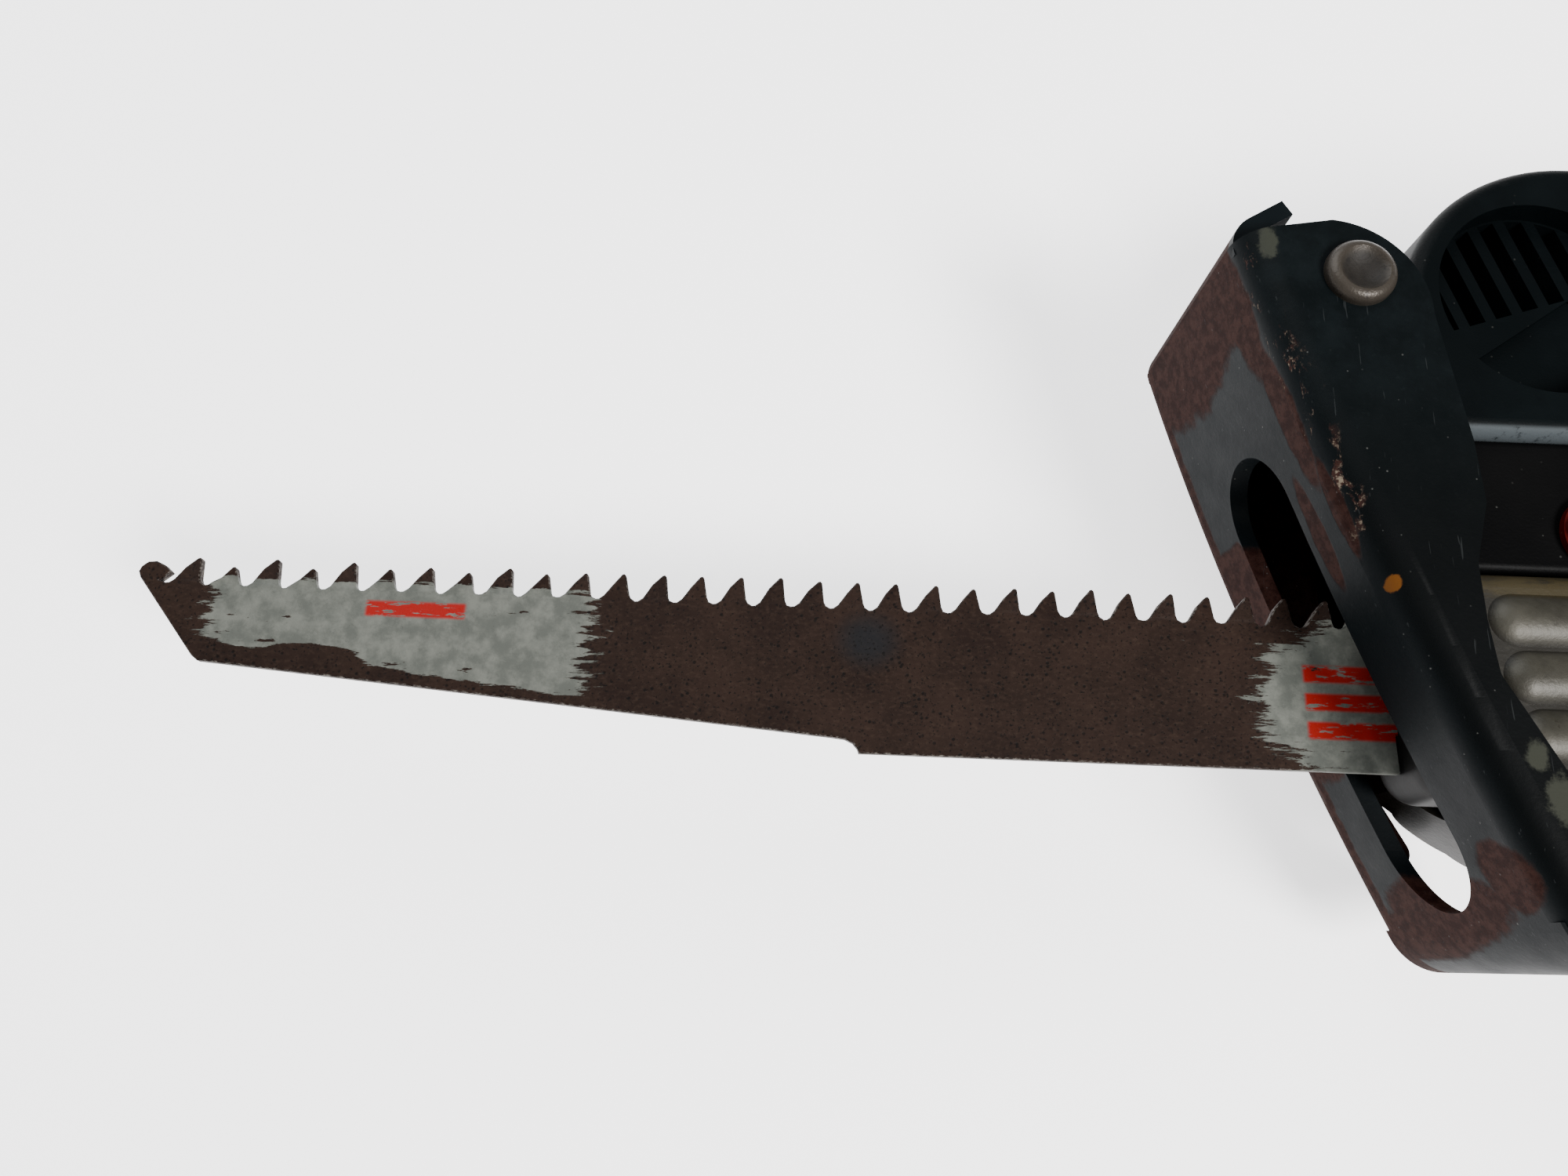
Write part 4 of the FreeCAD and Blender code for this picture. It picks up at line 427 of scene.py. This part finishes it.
def cast_aluminium():
    """Grimy as-cast aluminium: darker in patches in the grooves below the rib tops, a yellow stain along the
    rim.
    """
    s = Shader("cast_aluminium", (0.03, 0.028, 0.022), 0.5, 0.3, 0.3)
    cloud = s.noise(7.0, 5.0, 0.6)
    grain = s.noise(0.5, 3.0, 0.6, shift=2.0)
    side = s.math("ABSOLUTE", s.axis(2))
    groove = s.step(side, 17.0, 16.1)
    smear = s.noise(3.2, 5.0, 0.7, stretch=(3.0, 0.8, 1.0), shift=4.0)
    # darker in patches wherever the surface lies below the rib tops
    dirt = s.math("MULTIPLY", groove, s.step(smear, 0.20, 0.48))
    rim = s.math("MULTIPLY", s.band(1, -10.4, -7.2, 0.5), s.step(smear, 0.35, 0.55))
    colour = s.mix(s.step(cloud, 0.3, 0.7), (0.0200, 0.0185, 0.0135), (0.0420, 0.0390, 0.0300))
    colour = s.mix(s.math("MULTIPLY", dirt, 0.88), colour, (0.0045, 0.0036, 0.0022))
    colour = s.mix(s.math("MULTIPLY", rim, 0.85), colour, (0.030, 0.0225, 0.0085))
    stains = s.step(s.noise(1.8, 5.0, 0.7, shift=9.0), 0.62, 0.72)
    colour = s.mix(s.math("MULTIPLY", stains, 0.6), colour, (0.0100, 0.0075, 0.0040))
    rough = s.math("ADD", 0.34, s.math("MULTIPLY", cloud, 0.22))
    metallic = s.blend(s.math("MAXIMUM", rim, dirt), 0.30, 0.05)
    return s.finish(colour, rough, metallic, s.bump(s.math("ADD", grain, cloud), 0.35, 0.10))


def moulded(name, colour, pale, roughness, grain_mm=0.35, dusty=0.3, worn=0.35, seam=False):
    """Moulded plastic with a fine spark-eroded grain, handling marks and dust."""
    s = Shader(name, colour, roughness, specular=0.05)
    cloud = s.noise(14.0, 4.0, 0.6)
    grain = s.noise(grain_mm, 2.0, 0.5)
    dust = s.step(s.cells(1.6), 0.11, 0.05)
    dust = s.math("MULTIPLY", dust, s.step(s.noise(9.0, 3.0, 0.7, shift=5.0), 0.48, 0.62))
    rub = s.math("MULTIPLY", s.step(cloud, 0.42, 0.75), worn)
    shade = s.mix(rub, colour, pale)
    shade = s.mix(s.math("MULTIPLY", dust, dusty), shade, (0.055, 0.055, 0.050))
    scratch = s.step(s.noise(1.2, 2.0, 0.5, stretch=(8.0, 0.35, 0.35), shift=3.0), 0.72, 0.75)
    shade = s.mix(s.math("MULTIPLY", scratch, 0.25), shade, pale)
    if seam:
        # painted highlight: a pale line along the step edge below the black band, broken up by noise
        seam_glint = s.math("MULTIPLY", s.band(1, -28.6, -27.2, 0.3), s.band(0, -46.0, 0.0, 1.0))
        seam_glint = s.math("MULTIPLY", seam_glint, s.step(s.noise(1.6, 4.0, 0.7, shift=6.0), 0.30, 0.50))
        shade = s.mix(s.math("MULTIPLY", seam_glint, 0.8), shade, (0.060, 0.070, 0.076))
    rough = s.math("ADD", roughness - 0.08, s.math("MULTIPLY", cloud, 0.18))
    return s.finish(shade, rough, normal=s.bump(grain, 0.35, 0.08))


def machined(name, colour, roughness, stretch, metallic=1.0, dirt=(0.012, 0.010, 0.008), specular=0.5):
    """Turned or milled metal with tool marks and a little oil and dirt."""
    s = Shader(name, colour, roughness, metallic, specular)
    marks = s.noise(0.5, 3.0, 0.6, stretch=stretch)
    cloud = s.noise(6.0, 4.0, 0.6, shift=2.0)
    shade = s.mix(s.step(cloud, 0.52, 0.8), colour, dirt)
    shade = s.mix(s.math("MULTIPLY", marks, 0.35), shade, tuple(min(1.0, c * 1.5) for c in colour))
    rough = s.math("ADD", roughness - 0.08, s.math("MULTIPLY", cloud, 0.2))
    return s.finish(shade, rough, normal=s.bump(marks, 0.3, 0.05))


def stacked(name, colour, gap, pitch_mm, metallic, roughness, axis=0):
    """Thin sheets or wires laid side by side along one axis."""
    s = Shader(name, colour, roughness, metallic)
    along = s.math("MULTIPLY", s.axis(axis), 2 * math.pi / pitch_mm)
    wave = s.math("MULTIPLY", s.math("ADD", s.math("SINE", along), 1.0), 0.5)
    cloud = s.noise(5.0, 4.0, 0.6)
    shade = s.mix(s.step(wave, 0.25, 0.6), gap, colour)
    shade = s.mix(s.math("MULTIPLY", s.step(cloud, 0.5, 0.8), 0.4), shade, gap)
    return s.finish(shade, s.math("ADD", roughness - 0.05, s.math("MULTIPLY", cloud, 0.15)),
                    normal=s.bump(wave, 0.6, 0.15))


def rubber():
    """Black rubber with a grey bloom."""
    s = Shader("rubber", (0.0016, 0.0016, 0.0016), 0.75, specular=0.15)
    grain = s.noise(0.3, 3.0, 0.6)
    bloom = s.noise(5.0, 4.0, 0.6, shift=2.0)
    bloomed = s.math("MULTIPLY", s.step(bloom, 0.5, 0.8), 0.5)
    shade = s.mix(bloomed, (0.0012,) * 3, (0.0060,) * 3)
    return s.finish(shade, normal=s.bump(grain, 0.4, 0.06))


# ---- the saw blade as a mesh ----
TOOTH_PITCH = 5.0
TOOTH_DEPTH = 3.9
TOOTH_SET = 0.38
BLADE_HALF = (BLADE_HIGH.z - BLADE_LOW.z) / 2 / MM
EDGE_V = (BLADE_LOW.y - HUB.y) / MM
SPINE_V = (BLADE_HIGH.y - HUB.y) / MM
TIP_U = (BLADE_HIGH.x - HUB.x) / MM
REAR_U = (BLADE_LOW.x - HUB.x) / MM
FIRST_TOOTH_U = -6.2
TEETH = 31
LOW_TEETH_FROM = 14         # from this tooth on, every other one gets lower toward the tip
LOW_TEETH_DROP = 1.25
TOOTH_JITTER = 0.12
TANG_HALF = 6.3
CLAMP_GAP = 0.3
CHAMFER = 0.16
SPINE_STEP_U = 58.4


def blade_outline():
    """Tooth line, spine and tang in local millimetres, as points (u, v, set)."""
    chance = random.Random(5)
    root = EDGE_V + TOOTH_DEPTH
    line = []
    for i in range(TEETH):
        tip = FIRST_TOOTH_U + TOOTH_PITCH * i
        side = TOOTH_SET * (1 if i % 2 else -1)
        toward_tip = max(0.0, (i - LOW_TEETH_FROM) / (TEETH - 1 - LOW_TEETH_FROM))
        low = EDGE_V + chance.uniform(0.0, 0.35) + (LOW_TEETH_DROP * toward_tip if i % 2 else 0.0)
        lean = chance.uniform(-TOOTH_JITTER, TOOTH_JITTER)
        gullet = root + chance.uniform(-TOOTH_JITTER, TOOTH_JITTER)
        line += [(tip - 0.85, gullet - 0.25, 0.0), (tip - 0.60, gullet - 0.8, side * 0.35),
                 (tip - 0.22 + lean, low + 0.28, side), (tip + lean, low + 0.05, side),
                 (tip + 0.28 + lean, low + 0.12, side), (tip + 1.5, low + 1.45, side * 0.5),
                 (tip + 2.6, gullet - 0.5, side * 0.1), (tip + 3.2, gullet - 0.05, 0.0),
                 (tip + 3.6, gullet, 0.0)]
    last = line[-1][0]
    line += [(last + 0.9, root - 0.2, 0), (TIP_U - 4.2, EDGE_V + 2.4, 0), (TIP_U - 3.2, EDGE_V + 1.55, 0),
             (TIP_U - 2.1, EDGE_V + 1.05, 0), (TIP_U - 1.0, EDGE_V + 1.15, 0),
             (TIP_U - 0.25, EDGE_V + 1.8, 0), (TIP_U, EDGE_V + 2.5, 0), (TIP_U - 0.35, EDGE_V + 3.3, 0)]
    spine = [(142.4, 2.1, 0), (141.6, 2.7, 0), (61.5, 9.3, 0), (60.2, 9.45, 0), (59.2, 9.9, 0),
             (58.6, 10.6, 0), (SPINE_STEP_U, SPINE_V, 0)]
    clamp_u = (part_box("blade_clamp")[1].x - HUB.x) / MM + CLAMP_GAP
    rear = [(clamp_u, SPINE_V, 0), (clamp_u, TANG_HALF, 0), (REAR_U, TANG_HALF, 0),
            (REAR_U, -TANG_HALF, 0), (clamp_u, -TANG_HALF, 0), (clamp_u, root, 0)]
    return line, spine, rear


def build_blade(face_material, edge_material):
    """The blade with set teeth and chamfered edges, in place of the plain CAD blade."""
    line, spine, rear = blade_outline()
    outline = line + spine + rear
    mesh = bmesh.new()
    count = len(outline)

    def inward(i):
        before, here, after = (Vector(outline[j % count][:2]) for j in (i - 1, i, i + 1))
        normal = ((after - before).normalized()).orthogonal()
        return here + normal * CHAMFER

    rings = []
    for side in (-1, 1):
        outer, inner = [], []
        for i, (u, v, lean) in enumerate(outline):
            outer.append(mesh.verts.new(at(u, v, lean + side * (BLADE_HALF - CHAMFER))))
            p = inward(i)
            inner.append(mesh.verts.new(at(p.x, p.y, lean + side * BLADE_HALF)))
        rings.append((outer, inner))
    for i in range(count):
        j = (i + 1) % count
        (low_outer, low_inner), (high_outer, high_inner) = rings
        quads = [(low_outer[i], low_outer[j], high_outer[j], high_outer[i]),
                 (low_inner[i], low_inner[j], low_outer[j], low_outer[i]),
                 (high_outer[i], high_outer[j], high_inner[j], high_inner[i])]
        for quad in quads:
            mesh.faces.new(quad).material_index = 1
    flat = [Vector((*inward(i), 0)) for i in range(count)]
    for triangle in tessellate_polygon([flat]):
        for outer, inner in rings:
            mesh.faces.new([inner[corner] for corner in triangle])
    bmesh.ops.recalc_face_normals(mesh, faces=mesh.faces)
    data = bpy.data.meshes.new("blade_detailed")
    mesh.to_mesh(data)
    mesh.free()
    data.materials.append(face_material)
    data.materials.append(edge_material)
    blade = bpy.data.objects.new("blade_detailed", data)
    bpy.context.scene.collection.objects.link(blade)
    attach(blade, "ram")
    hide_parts("saw_blade")


# ---- finishes for the CAD nodes ----
def dress(nodes, material):
    for name in nodes:
        mesh = frame["nodes"][name].data
        mesh.materials.clear()
        mesh.materials.append(material)


def dress_all():
    petrol = moulded("casing_plastic", (0.0006, 0.0014, 0.0017), (0.0026, 0.0048, 0.0056), 0.5, seam=True)
    black = moulded("black_plastic", (0.0006, 0.0006, 0.0007), (0.0026, 0.0025, 0.0024), 0.5, dusty=0.5)
    red = moulded("red_plastic", (0.030, 0.0012, 0.0010), (0.048, 0.0050, 0.0040), 0.4)
    steel = machined("machined_steel", (0.14, 0.14, 0.14), 0.32, (0.3, 4.0, 4.0))
    clamp = machined("blackened_steel", (0.0022, 0.0020, 0.0020), 0.5, (3.0, 1.0, 1.0), 0.0,
                     (0.006, 0.005, 0.004), 0.12)
    ground = machined("bearing_steel", (0.20, 0.20, 0.21), 0.22, (0.2, 3.0, 3.0))
    screws = machined("screw_steel", (0.11, 0.10, 0.09), 0.35, (1.0, 1.0, 1.0))
    bronze = machined("sintered_bronze", (0.15, 0.085, 0.032), 0.45, (1.0, 1.0, 1.0))
    brass = machined("drawn_brass", (0.20, 0.14, 0.05), 0.30, (1.0, 1.0, 4.0))
    carbon = machined("pressed_carbon", (0.008, 0.008, 0.009), 0.5, (1.0, 1.0, 1.0), 0.3)
    iron = stacked("laminated_steel", (0.10, 0.10, 0.105), (0.02, 0.018, 0.016), 0.65, 0.9, 0.42)
    winding = stacked("enamelled_copper", (0.15, 0.045, 0.014), (0.02, 0.006, 0.003), 0.7, 0.6, 0.3, axis=1)
    bars = stacked("commutator_copper", (0.20, 0.09, 0.045), (0.04, 0.016, 0.009), 1.4, 1.0, 0.3)
    dress([name for name in frame["nodes"] if name.endswith(("_shell", "_front_cover"))], petrol)
    dress(["nose_sleeve", "switch_body", "trigger", "lock_button", "speed_dial", "cooling_fan"], black)
    dress(["selector_knob"], red)
    dress(["nose_casting", "gear_case"], cast_aluminium())
    dress(["shoe"], shoe_paint())
    dress(["shoe_rivet"], worn_rivet())
    dress(["blade_clamp"], clamp)
    dress(["plunger", "shoe_bracket", "armature_shaft", "motor_pinion", "countershaft", "driven_gear",
           "wobble_ring", "trigger_pin", "dial_axle", "brush_springs"], steel)
    dress(["wobble_race", "motor_front_bearing", "motor_rear_bearing", "countershaft_front_bearing",
           "countershaft_rear_bearing"], ground)
    dress(["housing_screws", "gear_case_screws", "clamp_screw"], screws)
    dress(["front_bushing", "rear_bushing"], bronze)
    dress(["brush_holders"], brass)
    dress(["carbon_brushes"], carbon)
    dress(["stator_core", "armature_core"], iron)
    dress(["field_coils", "armature_windings"], winding)
    dress(["commutator"], bars)
    dress(["cable_gland"], rubber())


make_camera()
make_floor()
make_lights()
dress_all()
build_blade(blade_metal(), blade_metal(bright=True))
